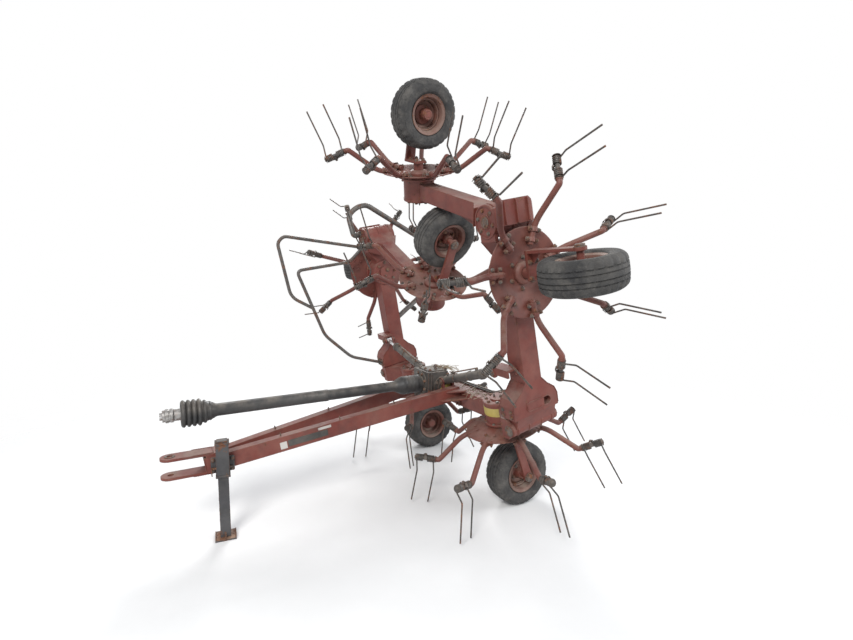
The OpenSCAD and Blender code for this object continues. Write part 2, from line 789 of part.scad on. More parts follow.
module jack_sleeve() color(dark) beside_rail()
    difference() {
        translate([-jack_sleeve_side / 2, -jack_sleeve_side / 2, jack_top - jack_sleeve_h])
            cube([jack_sleeve_side, jack_sleeve_side, jack_sleeve_h]);
        translate([0, 0, -jack_sleeve_h])
            linear_extrude(height = 3 * jack_sleeve_h)
                square(jack_leg_side + 2 * jack_play, center = true);
    }

module jack_leg() color(dark)
    beside_rail() {
        translate([-jack_leg_side / 2, -jack_leg_side / 2, ground + jack_foot_t / 2])
            cube([jack_leg_side, jack_leg_side, jack_top + jack_leg_out - ground - jack_foot_t / 2]);
        translate([-jack_foot_side / 2, -jack_foot_side / 2, ground])
            cube([jack_foot_side, jack_foot_side, jack_foot_t]);
    }

drawbar();
main_beam();
input_gearbox();
inner_wheel_legs();
shaft_guard();
drive_shaft();
jack_sleeve();
jack_leg();
wing_beam(1);  // left_wing_beam
wing_beam(-1);  // right_wing_beam
outer_arm(1);  // left_outer_arm
outer_arm(-1);  // right_outer_arm
rod_ears(1);  // left_rod_ears
rod_ears(-1);  // right_rod_ears
cylinder_barrel(1);  // left_cylinder
cylinder_barrel(-1);  // right_cylinder
cylinder_rod(1);  // left_cylinder_rod
cylinder_rod(-1);  // right_cylinder_rod
wing_guards();  // right_wing_guards
rotor(ROTORS[0]);  // rotor_left_inner
rotor(ROTORS[1]);  // rotor_left_wing
rotor(ROTORS[2]);  // rotor_left_outer
rotor(ROTORS[3]);  // rotor_right_inner
rotor(ROTORS[4]);  // rotor_right_wing
rotor(ROTORS[5]);  // rotor_right_outer
tines(ROTORS[0]);  // tines_left_inner
tines(ROTORS[1]);  // tines_left_wing
tines(ROTORS[2]);  // tines_left_outer
tines(ROTORS[3]);  // tines_right_inner
tines(ROTORS[4]);  // tines_right_wing
tines(ROTORS[5]);  // tines_right_outer
rim(ROTORS[0]);  // rim_left_inner
rim(ROTORS[1]);  // rim_left_wing
rim(ROTORS[2]);  // rim_left_outer
rim(ROTORS[3]);  // rim_right_inner
rim(ROTORS[4]);  // rim_right_wing
rim(ROTORS[5]);  // rim_right_outer
tyre(ROTORS[0]);  // tyre_left_inner
tyre(ROTORS[1]);  // tyre_left_wing
tyre(ROTORS[2]);  // tyre_left_outer
tyre(ROTORS[3]);  // tyre_right_inner
tyre(ROTORS[4]);  // tyre_right_wing
tyre(ROTORS[5]);  // tyre_right_outer
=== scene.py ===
"""Looks of the trailed hay tedder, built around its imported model. All sizes are in metres."""
import json
import random
from math import acos, atan2, cos, degrees, hypot, pi, radians, sin

import bmesh
import bpy
from mathutils import Matrix, Vector


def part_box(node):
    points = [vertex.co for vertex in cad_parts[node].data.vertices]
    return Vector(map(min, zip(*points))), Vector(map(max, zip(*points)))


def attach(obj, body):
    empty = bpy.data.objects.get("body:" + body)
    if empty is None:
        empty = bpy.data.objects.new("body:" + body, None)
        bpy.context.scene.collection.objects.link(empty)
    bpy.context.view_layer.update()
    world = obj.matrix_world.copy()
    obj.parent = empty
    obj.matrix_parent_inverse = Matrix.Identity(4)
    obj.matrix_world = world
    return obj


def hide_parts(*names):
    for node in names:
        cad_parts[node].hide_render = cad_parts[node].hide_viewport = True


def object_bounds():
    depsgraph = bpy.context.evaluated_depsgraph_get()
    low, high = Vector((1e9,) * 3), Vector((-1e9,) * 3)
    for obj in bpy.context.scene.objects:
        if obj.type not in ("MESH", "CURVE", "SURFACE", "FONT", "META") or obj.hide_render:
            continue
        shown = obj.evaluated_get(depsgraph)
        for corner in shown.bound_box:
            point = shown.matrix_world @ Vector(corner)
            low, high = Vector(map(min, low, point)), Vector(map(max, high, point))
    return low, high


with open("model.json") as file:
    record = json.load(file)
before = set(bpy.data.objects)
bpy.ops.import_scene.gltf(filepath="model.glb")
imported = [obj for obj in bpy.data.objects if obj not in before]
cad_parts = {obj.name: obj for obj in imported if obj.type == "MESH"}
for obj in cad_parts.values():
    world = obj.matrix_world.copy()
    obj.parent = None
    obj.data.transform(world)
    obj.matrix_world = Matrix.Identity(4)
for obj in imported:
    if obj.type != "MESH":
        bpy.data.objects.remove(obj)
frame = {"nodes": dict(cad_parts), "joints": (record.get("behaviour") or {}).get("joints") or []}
cad_low, cad_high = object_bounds()

JOINTS = {j["name"]: j for j in frame["joints"]}
NODES = frame["nodes"]
SIDES = ("left", "right")
PLACES = ("inner", "wing", "outer")
ROTORS = [f"{side}_{place}" for side in SIDES for place in PLACES]
ARMS = 7

# Sizes that the joints don't give, in a rotor's own frame: x outwards, y back, z up from its axle
WHEEL_BACK = 0.045
PITCH = 1.15
HINGE_X = 0.86
RISE = 0.45
HINGE_L = 0.32
OUTER_HINGE_X = HINGE_X + PITCH
OUTER_HINGE_L = 0.24
DRUM_R = 0.088
BEAM_HALF = 0.06
DISC_TOP = 0.366
DISC_RIM = 0.338
DISC_R = 0.235
HOUSING_TOP = RISE + 0.068
BLOCK_R = 0.521
BLOCK_RISE = 0.217
BLOCK_TILT = 20
BLOCK_HALF = 0.067
TINE_GAP = 0.106
COIL_SIDE = 0.011
BEND = (0.014, 0.032, -0.078)
TIP = (0.088, 0.027, -0.274)
ARM_R = 0.016
POST_R = 0.03
LEG_X = 0.1025
LEG_T = 0.016
LEG_TOP = 0.285
TYRE_STEPS = 168
CYLINDER_Y = -0.1
ROOT_PIN = (0.131, 0.58)
ROD_PIN = (HINGE_X + 0.31, RISE + 0.11)

# Drawbar, shaft and gearbox, in the machine's frame
GROUND = cad_low[2]
RAIL_W, RAIL_H = 0.06, 0.088
RAIL_START = (0.031, 0.175, -0.011)
RAIL_END = (0.203, 1.81644, GROUND + 0.67481)
SHAFT_Z = GROUND + 0.705
SHAFT_FRONT = -0.025
GUARD_FRONT, GUARD_BACK = 0.06, 1.54614
GEARBOX_FRONT = RAIL_END[1] - 0.25
GEARBOX_HALF = 0.105
JACK_HALF = 0.034

# The photograph's view: the eye's place over the ground, the lens in mm, and the angles in degrees
EYE = (2.903, -0.017, 1.497)
LENS = 20.33
LOOKS_DOWN, LOOKS_ROUND = 6.03, 60.736


def new_object(name, data):
    obj = bpy.data.objects.new(name, data)
    bpy.context.scene.collection.objects.link(obj)
    return obj


def camera():
    """The photograph's own view, solved from the wheels, rotors and hinges."""
    data = bpy.data.cameras.new("camera")
    data.sensor_width = 36
    data.lens = LENS
    data.clip_start = 0.05
    obj = new_object("camera", data)
    obj.location = (EYE[0], EYE[1], GROUND + EYE[2])
    obj.rotation_euler = (radians(90 - LOOKS_DOWN), 0, radians(LOOKS_ROUND))
    bpy.context.scene.camera = obj


camera()


# Frames

def columns(x, y, z, origin):
    m = Matrix.Identity(4)
    for i, v in enumerate((x, y, z, origin)):
        for row in range(3):
            m[row][i] = v[row]
    return m


def joint_axis(name):
    return Vector(JOINTS[name]["axis"]).normalized()


def work_frame(name):
    """The frame in which the machine is drawn unfolded: x outwards from its middle, y back, z up."""
    place = PLACES.index(name.split("_")[1])
    up, out = joint_axis(f"rotor_{name}_spin"), joint_axis(f"wheel_{name}_spin")
    back = up.cross(out)
    if back.y < 0:
        back.negate()
    wheel = Vector(JOINTS[f"wheel_{name}_spin"]["pos_m"])
    return columns(out, back, up, wheel - back * WHEEL_BACK - out * (0.5 + place) * PITCH)


WORK = {name: work_frame(name) for name in ROTORS}
RIG = WORK["left_inner"]
RIG_RIGHT = WORK["right_inner"]


def rotor_x(name):
    return (0.5 + PLACES.index(name.split("_")[1])) * PITCH


def shift(x=0.0, y=0.0, z=0.0):
    return Matrix.Translation((x, y, z))


def turn(angle, axis):
    return Matrix.Rotation(radians(angle), 4, axis)


# Turns that point a piece's own z forwards, outwards and down
FRONT, OUT, DOWN = turn(90, "X"), turn(90, "Y"), turn(180, "X")


def arm_turn(name):
    """Where the first arm of a rotor points, from the far ends of its node's mesh."""
    inverse = (WORK[name] @ shift(x=rotor_x(name))).inverted()
    total = complex(0, 0)
    for v in NODES[f"rotor_{name}"].data.vertices:
        p = inverse @ v.co
        if hypot(p.x, p.y) > 0.4:
            a = atan2(p.y, p.x) * ARMS
            total += complex(cos(a), sin(a))
    return degrees(atan2(total.imag, total.real)) / ARMS


# Mesh tools

def mm(*points, z=0.0):
    """Points given in millimetres, with z metres added to their last coordinate."""
    return [(*[v / 1000 for v in p[:-1]], p[-1] / 1000 + z) for p in points]


class Shape:
    """The vertices and faces of one piece, placed in the row frame as they are added."""

    def __init__(self, place=None):
        self.place = place or Matrix.Identity(4)
        self.verts = []
        self.faces = []

    def add(self, verts, faces, local=None):
        m = self.place @ local if local is not None else self.place
        flip = m.to_3x3().determinant() < 0
        start = len(self.verts)
        self.verts += [tuple(m @ Vector(v)) for v in verts]
        for face in faces:
            f = [start + i for i in face]
            self.faces.append(f[::-1] if flip else f)

    def tube(self, points, radius, sides=10, local=None, closed=False):
        """A round bar along the points. radius is one number or one for each point."""
        pts = [Vector(p) for p in points]
        n = len(pts)
        radii = radius if hasattr(radius, "__len__") else [radius] * n
        verts, faces = [], []
        normal = None
        for i, p in enumerate(pts):
            if closed:
                step = pts[(i + 1) % n] - pts[i - 1]
            else:
                step = pts[min(i + 1, n - 1)] - pts[max(i - 1, 0)]
            step.normalize()
            if normal is None:
                normal = step.orthogonal().normalized()
            normal = (normal - step * normal.dot(step)).normalized()
            other = step.cross(normal)
            for k in range(sides):
                a = 2 * pi * k / sides
                verts.append(p + normal * cos(a) * radii[i] + other * sin(a) * radii[i])
        for i in range(n if closed else n - 1):
            for k in range(sides):
                a, b = i * sides + k, i * sides + (k + 1) % sides
                j = ((i + 1) % n) * sides
                faces.append((a, b, j + (k + 1) % sides, j + k))
        if not closed:
            faces.append(tuple(range(sides))[::-1])
            faces.append(tuple((n - 1) * sides + k for k in range(sides)))
        self.add(verts, faces, local)

    def lathe(self, profile, segments=32, local=None, closed=False):
        """Turns (r, z) points about z. Points with no radius close to a pole."""
        verts, faces, rings = [], [], []
        for r, z in profile:
            if r < 1e-6:
                rings.append([len(verts)])
                verts.append((0, 0, z))
            else:
                rings.append([len(verts) + k for k in range(segments)])
                for k in range(segments):
                    a = 2 * pi * k / segments
                    verts.append((r * cos(a), r * sin(a), z))
        pairs = list(zip(rings, rings[1:] + rings[:1])) if closed else list(zip(rings, rings[1:]))
        for lower, upper in pairs:
            for k in range(segments):
                corners = (lower[k % len(lower)], lower[(k + 1) % len(lower)],
                           upper[(k + 1) % len(upper)], upper[k % len(upper)])
                face = tuple(dict.fromkeys(corners))
                if len(face) > 2:
                    faces.append(face)
        self.add(verts, faces, local)

    def plate(self, outline, thickness, local=None, chamfer=0.0012):
        """A flat plate with its edges broken, from z 0 up. The outline runs anticlockwise."""
        n = len(outline)
        inner = []
        for i in range(n):
            a, b, c = Vector(outline[i - 1]), Vector(outline[i]), Vector(outline[(i + 1) % n])
            u, v = (b - a).normalized(), (c - b).normalized()
            normal = Vector((-u.y - v.y, u.x + v.x))
            if normal.length > 1e-6:
                normal.normalize()
            inner.append(b + normal * chamfer)
        c = min(chamfer, thickness * 0.4)
        levels = [(inner, 0), (outline, c), (outline, thickness - c), (inner, thickness)]
        verts = [(p[0], p[1], z) for ring, z in levels for p in ring]
        faces = [tuple(range(n))[::-1], tuple(3 * n + i for i in range(n))]
        for level in range(3):
            for i in range(n):
                j = (i + 1) % n
                faces.append((level * n + i, level * n + j, (level + 1) * n + j, (level + 1) * n + i))
        self.add(verts, faces, local)

    def bolt(self, local, size=0.008, head=None, shank=0.0):
        """Hexagon head on a washer, seated at z 0; size is the thread's radius."""
        head = head or size * 1.3
        washer = [(0, -0.001), (size * 2.1, -0.001), (size * 2.1, 0.0016), (size * 1.95, 0.002), (0, 0.002)]
        self.lathe(washer, 16, local)
        top = 0.002 + head
        self.lathe([(size * 1.85, 0.0015), (size * 1.85, top - 0.001), (size * 1.6, top), (0, top)], 6, local)
        if shank:
            self.lathe([(size, top - 0.001), (size, top + shank - 0.001), (size * 0.8, top + shank),
                        (0, top + shank)], 12, local)

    def ring(self, r0, r1, height, local, segments=32, edge=0.0012):
        """A flat ring with its outer edges broken, from z 0 up."""
        self.lathe([(r0, 0), (r1 - edge, 0), (r1, edge), (r1, height - edge), (r1 - edge, height), (r0, height)],
                   segments, local, closed=True)

    def bead(self, points, radius, local=None, seed=1):
        """A weld bead along the points, rippled."""
        rng = random.Random(seed)
        pts = [Vector(p) for p in points]
        line, radii = [], []
        for a, b in zip(pts, pts[1:]):
            n = max(2, int((b - a).length / 0.006))
            for i in range(n):
                line.append(a.lerp(b, i / n))
                radii.append(radius * (0.85 + 0.3 * ((len(line)) % 2) + rng.uniform(-0.08, 0.08)))
        line.append(pts[-1])
        radii.append(radius * 0.7)
        self.tube(line, radii, 6, local)

    def make(self, name, body, material, slot, replaces=(), sharp=32):
        bm = bmesh.new()
        made = [bm.verts.new(v) for v in self.verts]
        for face in self.faces:
            try:
                bm.faces.new([made[i] for i in face])
            except ValueError:
                pass
        limit = radians(sharp)
        for face in bm.faces:
            face.smooth = True
        bm.normal_update()
        for edge in bm.edges:
            if len(edge.link_faces) != 2 or edge.calc_face_angle(0) > limit:
                edge.smooth = False
        mesh = bpy.data.meshes.new(name)
        bm.to_mesh(mesh)
        bm.free()
        mesh.materials.append(material)
        obj = new_object(name, mesh)
        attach(obj, body)
        if replaces:
            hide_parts(*replaces)


def box_outline(x0, x1, y0, y1, corner=0.0):
    if not corner:
        return [(x0, y0), (x1, y0), (x1, y1), (x0, y1)]
    c = corner
    return [(x0 + c, y0), (x1 - c, y0), (x1, y0 + c), (x1, y1 - c),
            (x1 - c, y1), (x0 + c, y1), (x0, y1 - c), (x0, y0 + c)]


def square(half, corner):
    return box_outline(-half, half, -half, half, corner)


def ring_of(count, radius, start=0.0):
    """Places evenly spaced round z."""
    for k in range(count):
        yield turn(start + 360 * k / count, "Z") @ shift(x=radius)


def bent(points, radius, steps=5):
    """The polyline with its corners rounded."""
    pts = [Vector(p) for p in points]
    out = [pts[0]]
    for a, b, c in zip(pts, pts[1:], pts[2:]):
        reach = min(radius, (b - a).length * 0.45, (c - b).length * 0.45)
        p, q = b + (a - b).normalized() * reach, b + (c - b).normalized() * reach
        for i in range(steps + 1):
            t = i / steps
            out.append(p * (1 - t) ** 2 + b * 2 * t * (1 - t) + q * t * t)
    return out + [pts[-1]]


# Materials

class Nodes:
    """A shader's node tree."""

    def __init__(self, tree):
        self.tree = tree

    def feed(self, socket, value):
        """Gives the socket a plain value, or links another node's output to it."""
        if isinstance(value, bpy.types.NodeSocket):
            self.tree.links.new(value, socket)
        else:
            socket.default_value = value

    def node(self, kind, inputs=None, **settings):
        node = self.tree.nodes.new("ShaderNode" + kind)
        for key, value in settings.items():
            setattr(node, key, value)
        for key, value in (inputs or {}).items():
            self.feed(node.inputs[key], value)
        return node

    def calc(self, kind, a, b, clamp=False):
        return self.node("Math", {0: a, 1: b}, operation=kind, use_clamp=clamp).outputs[0]


class Look(Nodes):
    """One procedural material. Its patterns lie in the object's own space, in metres."""

    def __init__(self, name):
        self.mat = bpy.data.materials.new(name)
        self.mat.use_nodes = True
        super().__init__(self.mat.node_tree)
        self.shader = self.tree.nodes["Principled BSDF"]
        self.coords = self.node("TexCoord").outputs

    def noise(self, scale, detail=5.0, rough=0.6, distort=0.0, stretch=None):
        place = self.coords["Object"]
        if stretch:
            place = self.node("Mapping", {"Scale": stretch, "Vector": place}).outputs["Vector"]
        return self.node("TexNoise", {"Scale": scale, "Detail": detail, "Roughness": rough,
                                      "Distortion": distort, "Vector": place}).outputs["Fac"]

    def span(self, value, low, high, start=0.0, end=1.0):
        return self.node("MapRange", {"From Min": low, "From Max": high, "To Min": start, "To Max": end,
                                      "Value": value}, interpolation_type="SMOOTHSTEP").outputs["Result"]

    def patch(self, limits, *noise):
        """Noise between limits (low, high) and, if given, the values it has there."""
        return self.span(self.noise(*noise), *limits)

    def mix(self, mask, a, b):
        a, b = ((*v, 1) if isinstance(v, tuple) else v for v in (a, b))
        return self.node("Mix", {0: mask, 6: a, 7: b}, data_type="RGBA").outputs[2]

    def times(self, a, b):
        return self.calc("MULTIPLY", a, b)

    def up(self):
        """How far a face looks up at rest, from -1 to 1."""
        return self.node("SeparateXYZ", {0: self.coords["Normal"]}).outputs[2]

    def edges(self, radius):
        """1 near sharp edges, 0 elsewhere, and the rounded normal."""
        rounded = self.node("Bevel", {"Radius": radius}, samples=4).outputs[0]
        flat = self.node("NewGeometry").outputs["Normal"]
        dot = self.node("VectorMath", {0: rounded, 1: flat}, operation="DOT_PRODUCT").outputs["Value"]
        return self.span(dot, 0.72, 0.98, 1.0, 0.0), rounded

    def bump(self, height, strength, distance, normal=None):
        inputs = {"Strength": strength, "Distance": distance, "Height": height}
        if normal is not None:
            inputs["Normal"] = normal
        self.feed(self.shader.inputs["Normal"], self.node("Bump", inputs).outputs["Normal"])

    def colour(self, value):
        self.feed(self.shader.inputs["Base Color"], value)

    def rough(self, value):
        self.feed(self.shader.inputs["Roughness"], value)

    def metal(self, value):
        self.feed(self.shader.inputs["Metallic"], value)


RUST_DARK = (0.06, 0.022, 0.011)
RUST_BRIGHT = (0.215, 0.078, 0.03)
DUST = (0.33, 0.285, 0.235)


def paint(name, base, faded, deep, rust=0.5, dust=0.5, edge=0.006, gloss=0.55):
    """Old enamel: faded in clouds, rubbed at its edges, rusted in patches, dusty where it looks up."""
    look = Look(name)
    body = look.mix(look.patch((0.36, 0.66), 2.3, 4), base, faded)
    streaks = look.patch((0.42, 0.72), 11, 7, 0.65, 0.4)
    body = look.mix(look.times(streaks, 0.55), body, deep)
    flecks = look.patch((0.56, 0.72), 170, 3, 0.7)
    body = look.mix(look.times(flecks, 0.35), body, faded)
    worn, rounded = look.edges(edge)
    chips = look.noise(26, 9, 0.72, 0.3)
    patches = look.patch((0.4, 0.72), 3.1, 6, 0.62)
    wear = look.calc("ADD", look.times(patches, 0.16 * rust), look.times(worn, 0.22))
    rusty = look.span(look.calc("ADD", chips, wear), 0.66, 0.72)
    grain = look.patch((0.35, 0.68), 75, 6, 0.7)
    body = look.mix(rusty, body, look.mix(grain, RUST_DARK, RUST_BRIGHT))
    top = look.span(look.up(), -0.1, 0.9, 0.16, 1.0)
    lie = look.patch((0.34, 0.7), 7.5, 8, 0.7)
    dusty = look.times(look.times(top, lie), dust)
    look.colour(look.mix(dusty, body, DUST))
    roughness = look.calc("ADD", look.times(rusty, 0.25), gloss)
    look.rough(look.calc("ADD", roughness, look.times(dusty, 0.3), clamp=True))
    pits = look.times(rusty, look.calc("SUBTRACT", 0.8, grain))
    look.bump(look.calc("SUBTRACT", look.times(look.noise(60, 6, 0.6), 0.35), pits), 0.45, 0.0012, rounded)
    return look.mat


def metal(name, clean, dark, rust=0.5, shine=0.42, metallic=0.85, dust=0.2):
    """Bare or oiled steel with brown bloom."""
    look = Look(name)
    grain = look.noise(48, 7, 0.68)
    body = look.mix(look.span(grain, 0.35, 0.7), clean, dark)
    bloom = look.span(look.noise(19, 8, 0.7, 0.5), 0.62 - 0.26 * rust, 0.8 - 0.2 * rust)
    rust_colour = look.mix(look.patch((0.35, 0.65), 90, 5, 0.7), RUST_DARK, RUST_BRIGHT)
    body = look.mix(bloom, body, rust_colour)
    dusty = look.times(look.patch((0.4, 0.75), 9, 7, 0.7), dust)
    look.colour(look.mix(dusty, body, DUST))
    look.metal(look.times(look.calc("SUBTRACT", 1.0, look.calc("MAXIMUM", bloom, dusty)), metallic))
    look.rough(look.calc("ADD", look.times(bloom, 0.4), shine, clamp=True))
    rounded = look.edges(0.002)[1]
    look.bump(look.calc("ADD", grain, bloom), 0.35, 0.0006, rounded)
    return look.mat


def rubber(name):
    """Sun-bleached tyre rubber with fine cracks and dust in its hollows."""
    look = Look(name)
    body = look.mix(look.patch((0.35, 0.68), 6, 6), (0.022, 0.022, 0.023), (0.052, 0.05, 0.048))
    dusty = look.times(look.patch((0.4, 0.74), 15, 8, 0.72, 0.3), 0.42)
    body = look.mix(dusty, body, (0.2, 0.185, 0.165))
    specks = look.patch((0.6, 0.74), 260, 2)
    look.colour(look.mix(look.times(specks, 0.3), body, (0.13, 0.12, 0.11)))
    look.rough(look.patch((0.3, 0.7, 0.72, 0.94), 30, 5))
    cracks = look.noise(140, 6, 0.75, stretch=(1, 1, 2.5))
    look.bump(look.calc("ADD", cracks, look.noise(420, 2)), 0.35, 0.0006)
    return look.mat


def plastic(name, base, faded, dust=0.4):
    """Moulded plastic or dry straw, bleached and scuffed."""
    look = Look(name)
    body = look.mix(look.patch((0.35, 0.7), 5, 5), base, faded)
    scuffs = look.span(look.noise(40, 7, 0.7, 0.6, stretch=(1, 5, 1)), 0.6, 0.72)
    body = look.mix(look.times(scuffs, 0.5), body, (0.12, 0.12, 0.12))
    top = look.span(look.up(), -0.2, 0.9, 0.1, 1.0)
    dusty = look.times(look.times(top, look.patch((0.35, 0.7), 12, 7)), dust)
    look.colour(look.mix(dusty, body, DUST))
    look.rough(look.patch((0.3, 0.7, 0.42, 0.68), 25, 5))
    look.bump(look.noise(230, 3), 0.18, 0.0005)
    return look.mat


def chrome(name):
    """Polished rod with an oily film and light scratches along it."""
    look = Look(name)
    film = look.patch((0.4, 0.75), 14, 6, 0.6)
    look.colour(look.mix(film, (0.72, 0.72, 0.73), (0.36, 0.33, 0.3)))
    look.metal(0.95)
    look.rough(look.span(look.noise(60, 5, 0.7, stretch=(1, 1, 0.2)), 0.3, 0.7, 0.16, 0.38))
    look.bump(look.noise(300, 3), 0.08, 0.0003)
    return look.mat


RED = paint("old_red_paint", (0.138, 0.023, 0.015), (0.188, 0.051, 0.036), (0.068, 0.015, 0.012),
            rust=0.8, dust=0.42)
ROTOR_RED = paint("rotor_red_paint", (0.12, 0.025, 0.017), (0.17, 0.052, 0.036), (0.055, 0.017, 0.013),
                  rust=1.0, dust=0.36)
RIM = paint("rim_old_paint", (0.145, 0.04, 0.026), (0.185, 0.115, 0.092), (0.07, 0.027, 0.02),
            rust=1.0, dust=0.75, gloss=0.6)
DARK = paint("dark_old_paint", (0.04, 0.036, 0.034), (0.075, 0.068, 0.062), (0.022, 0.019, 0.018),
             rust=0.7, dust=0.6)
YELLOW = paint("blank_plate_paint", (0.44, 0.33, 0.045), (0.5, 0.41, 0.13), (0.22, 0.16, 0.05),
               rust=0.2, edge=0.001)
PALE = paint("blank_pale_plate", (0.47, 0.45, 0.42), (0.56, 0.54, 0.5), (0.26, 0.22, 0.2),
             rust=0.2, edge=0.001)
BOLT = metal("bolt_steel", (0.15, 0.14, 0.13), (0.07, 0.064, 0.058), rust=0.95, shine=0.5, metallic=0.6,
             dust=0.3)
TINE = metal("tine_spring_steel", (0.105, 0.098, 0.092), (0.045, 0.042, 0.04), rust=0.6, shine=0.5,
             metallic=0.6)
STEEL = metal("worn_steel", (0.42, 0.41, 0.4), (0.22, 0.21, 0.2), rust=0.45, shine=0.36)
GUARD_TUBE = metal("guard_tube_steel", (0.115, 0.108, 0.102), (0.06, 0.056, 0.053), rust=0.55, shine=0.5,
                   metallic=0.35)
CHROME = chrome("cylinder_rod_chrome")
RUBBER = rubber("old_tyre_rubber")
PLASTIC = plastic("shaft_guard_plastic", (0.02, 0.02, 0.021), (0.048, 0.047, 0.046))
JACK = paint("jack_old_paint", (0.03, 0.03, 0.034), (0.06, 0.06, 0.064), (0.018, 0.017, 0.018),
             rust=0.9, dust=0.4)
FOOT = paint("jack_foot_rust", (0.17, 0.07, 0.03), (0.24, 0.115, 0.055), (0.075, 0.035, 0.02),
             rust=1.4, dust=0.4)
HAY = plastic("dry_hay", (0.23, 0.172, 0.105), (0.33, 0.27, 0.185), dust=0.2)

# A material with its slot
RED_PAINT = (RED, "red_paint")
ROTOR_PAINT = (ROTOR_RED, "red_paint")
DARK_PAINT = (DARK, "dark_paint")
BOLT_STEEL = (BOLT, "bare_steel")

# The CAD nodes' materials by the start of their names; the rest is red
NODE_LOOKS = (("rotor_", ROTOR_RED), ("tyre_", RUBBER), ("rim_", RIM), ("tines_", TINE), ("jack", JACK),
              ("left_cylinder_rod", CHROME), ("right_cylinder_rod", CHROME), ("left_cylinder", DARK),
              ("right_cylinder", DARK), ("input_gearbox", DARK), ("drive_shaft", STEEL),
              ("shaft_guard", PLASTIC), ("right_wing_guards", GUARD_TUBE))
for node, obj in NODES.items():
    obj.data.materials.clear()
    obj.data.materials.append(next((look for start, look in NODE_LOOKS if node.startswith(start)), RED))


# Wheels

def wheel_place(name):
    """A wheel's own frame, with z outwards along its axle."""
    out, up = joint_axis(f"wheel_{name}_spin"), joint_axis(f"rotor_{name}_spin")
    return columns(up, out.cross(up), out, Vector(JOINTS[f"wheel_{name}_spin"]["pos_m"]))


def tyre(name):
    """Rib tyre: rounded sidewalls with a bead ring, cut ribs and shoulder blocks."""
    half = mm((101.9, 60), (103.5, 64), (118, 64.6), (121.5, 66), (124, 70.5), (129, 76.8), (132, 77.8),
              (133.5, 79.6), (138, 80.2), (140, 80.8), (150, 82.4), (160, 82.5), (169, 81.2), (171.2, 81.8),
              (174, 80.8), (181, 76.8), (188, 71.5), (193.5, 65.5), (197, 59.2), (199, 53))
    tread = list(enumerate((0.05, 0.041, 0.0395, 0.0345, 0.033, 0.0185, 0.017, 0.012, 0.0105, 0.0)))
    rows = [(r, -w, 0) for r, w in half] + [(None, -w, j) for j, w in tread]
    rows += [(None, w, j) for j, w in tread[-2::-1]] + [(r, w, 0) for r, w in reversed(half)]
    verts, faces = [], []
    for r, w, j in rows:
        for k in range(TYRE_STEPS):
            notch = (k + 3 * (w > 0)) % 6 in (0, 1)
            if r is None:
                sipe = (k + 2 * (w > 0)) % 4 == 0 and j in (4, 5)
                groove = 0.0055 * (j in (2, 3, 6, 7)) + 0.0045 * (notch and j in (0, 1)) + 0.0022 * sipe
                radius = 0.203 - 1.2 * w * w - groove
            else:
                radius = r - 0.0035 * (notch and r > 0.1865)
            a = 2 * pi * k / TYRE_STEPS
            verts.append((radius * cos(a), radius * sin(a), w))
    for i in range(len(rows)):
        for k in range(TYRE_STEPS):
            a, b = i * TYRE_STEPS + k, i * TYRE_STEPS + (k + 1) % TYRE_STEPS
            if i < len(rows) - 1:
                faces.append((a, b, b + TYRE_STEPS, a + TYRE_STEPS))
            else:
                faces.append(((k + 1) % TYRE_STEPS, k, a, b))
    shape = Shape(wheel_place(name))
    shape.add(verts, faces)
    shape.make(f"treaded_tyre_{name}", f"wheel_{name}", RUBBER, "tyre", [f"tyre_{name}"], sharp=38)


def rim(name):
    """Pressed steel wheel: bead seats, drop centre, dished disc with nuts, and a valve."""
    place, body = wheel_place(name), f"wheel_{name}"
    shape, hub, nuts = Shape(place), Shape(place), Shape(place)
    shape.lathe(mm((101.5, -60), (115, -65.5), (117, -67.5), (116.8, -69.8), (114.5, -70), (112, -67.5),
                   (99, -63.5), (96, -56), (93, -30), (80, -24), (78.5, 14), (93, 20), (95.5, 56), (99, 63.5),
                   (112, 67.5), (114.5, 70), (116.8, 69.8), (117, 67.5), (115, 65.5), (101.5, 60), (97.5, 25),
                   (83, 18), (83, -27), (97.5, -34)), 56, closed=True)
    shape.lathe(mm((80, 4), (74, 7.5), (68, 15), (60, 18), (43, 18), (42, 13), (60, 13), (65.5, 10.5),
                   (71.5, 3), (79, -1)), 56, closed=True)
    shape.tube(mm((104, 0, 50), (108, 0, 60), (108.5, 0, 68.5)), 0.0028, 8, turn(40, "Z") @ shift(x=-0.012))
    shape.make(f"pressed_rim_{name}", body, RIM, "rim_paint", [f"rim_{name}"])
    hub.lathe(mm((17.8, -60), (27, -60), (29, -58), (29, -50), (33, -47), (34, -5), (40, 0), (52, 2), (57, 4),
                 (57, 12.5), (42, 13), (34, 20), (31.5, 48), (29, 50), (29, 58), (27, 60), (17.8, 60)),
              36, closed=True)
    hub.tube(mm((31, 0, 30), (36, 0, 33), (38, 0, 36)), [0.004, 0.003, 0.0025], 8, turn(100, "Z"))
    hub.make(f"wheel_hub_{name}", body, ROTOR_RED, "rim_paint")
    for spot in ring_of(4, 0.05, 20):
        nuts.bolt(spot @ shift(z=0.0185), 0.0062, 0.0095, 0.005)
    nuts.make(f"wheel_nuts_{name}", body, *BOLT_STEEL)


# Rotors

BLOCK = shift(x=BLOCK_R, z=BLOCK_RISE) @ turn(-BLOCK_TILT, "Y")


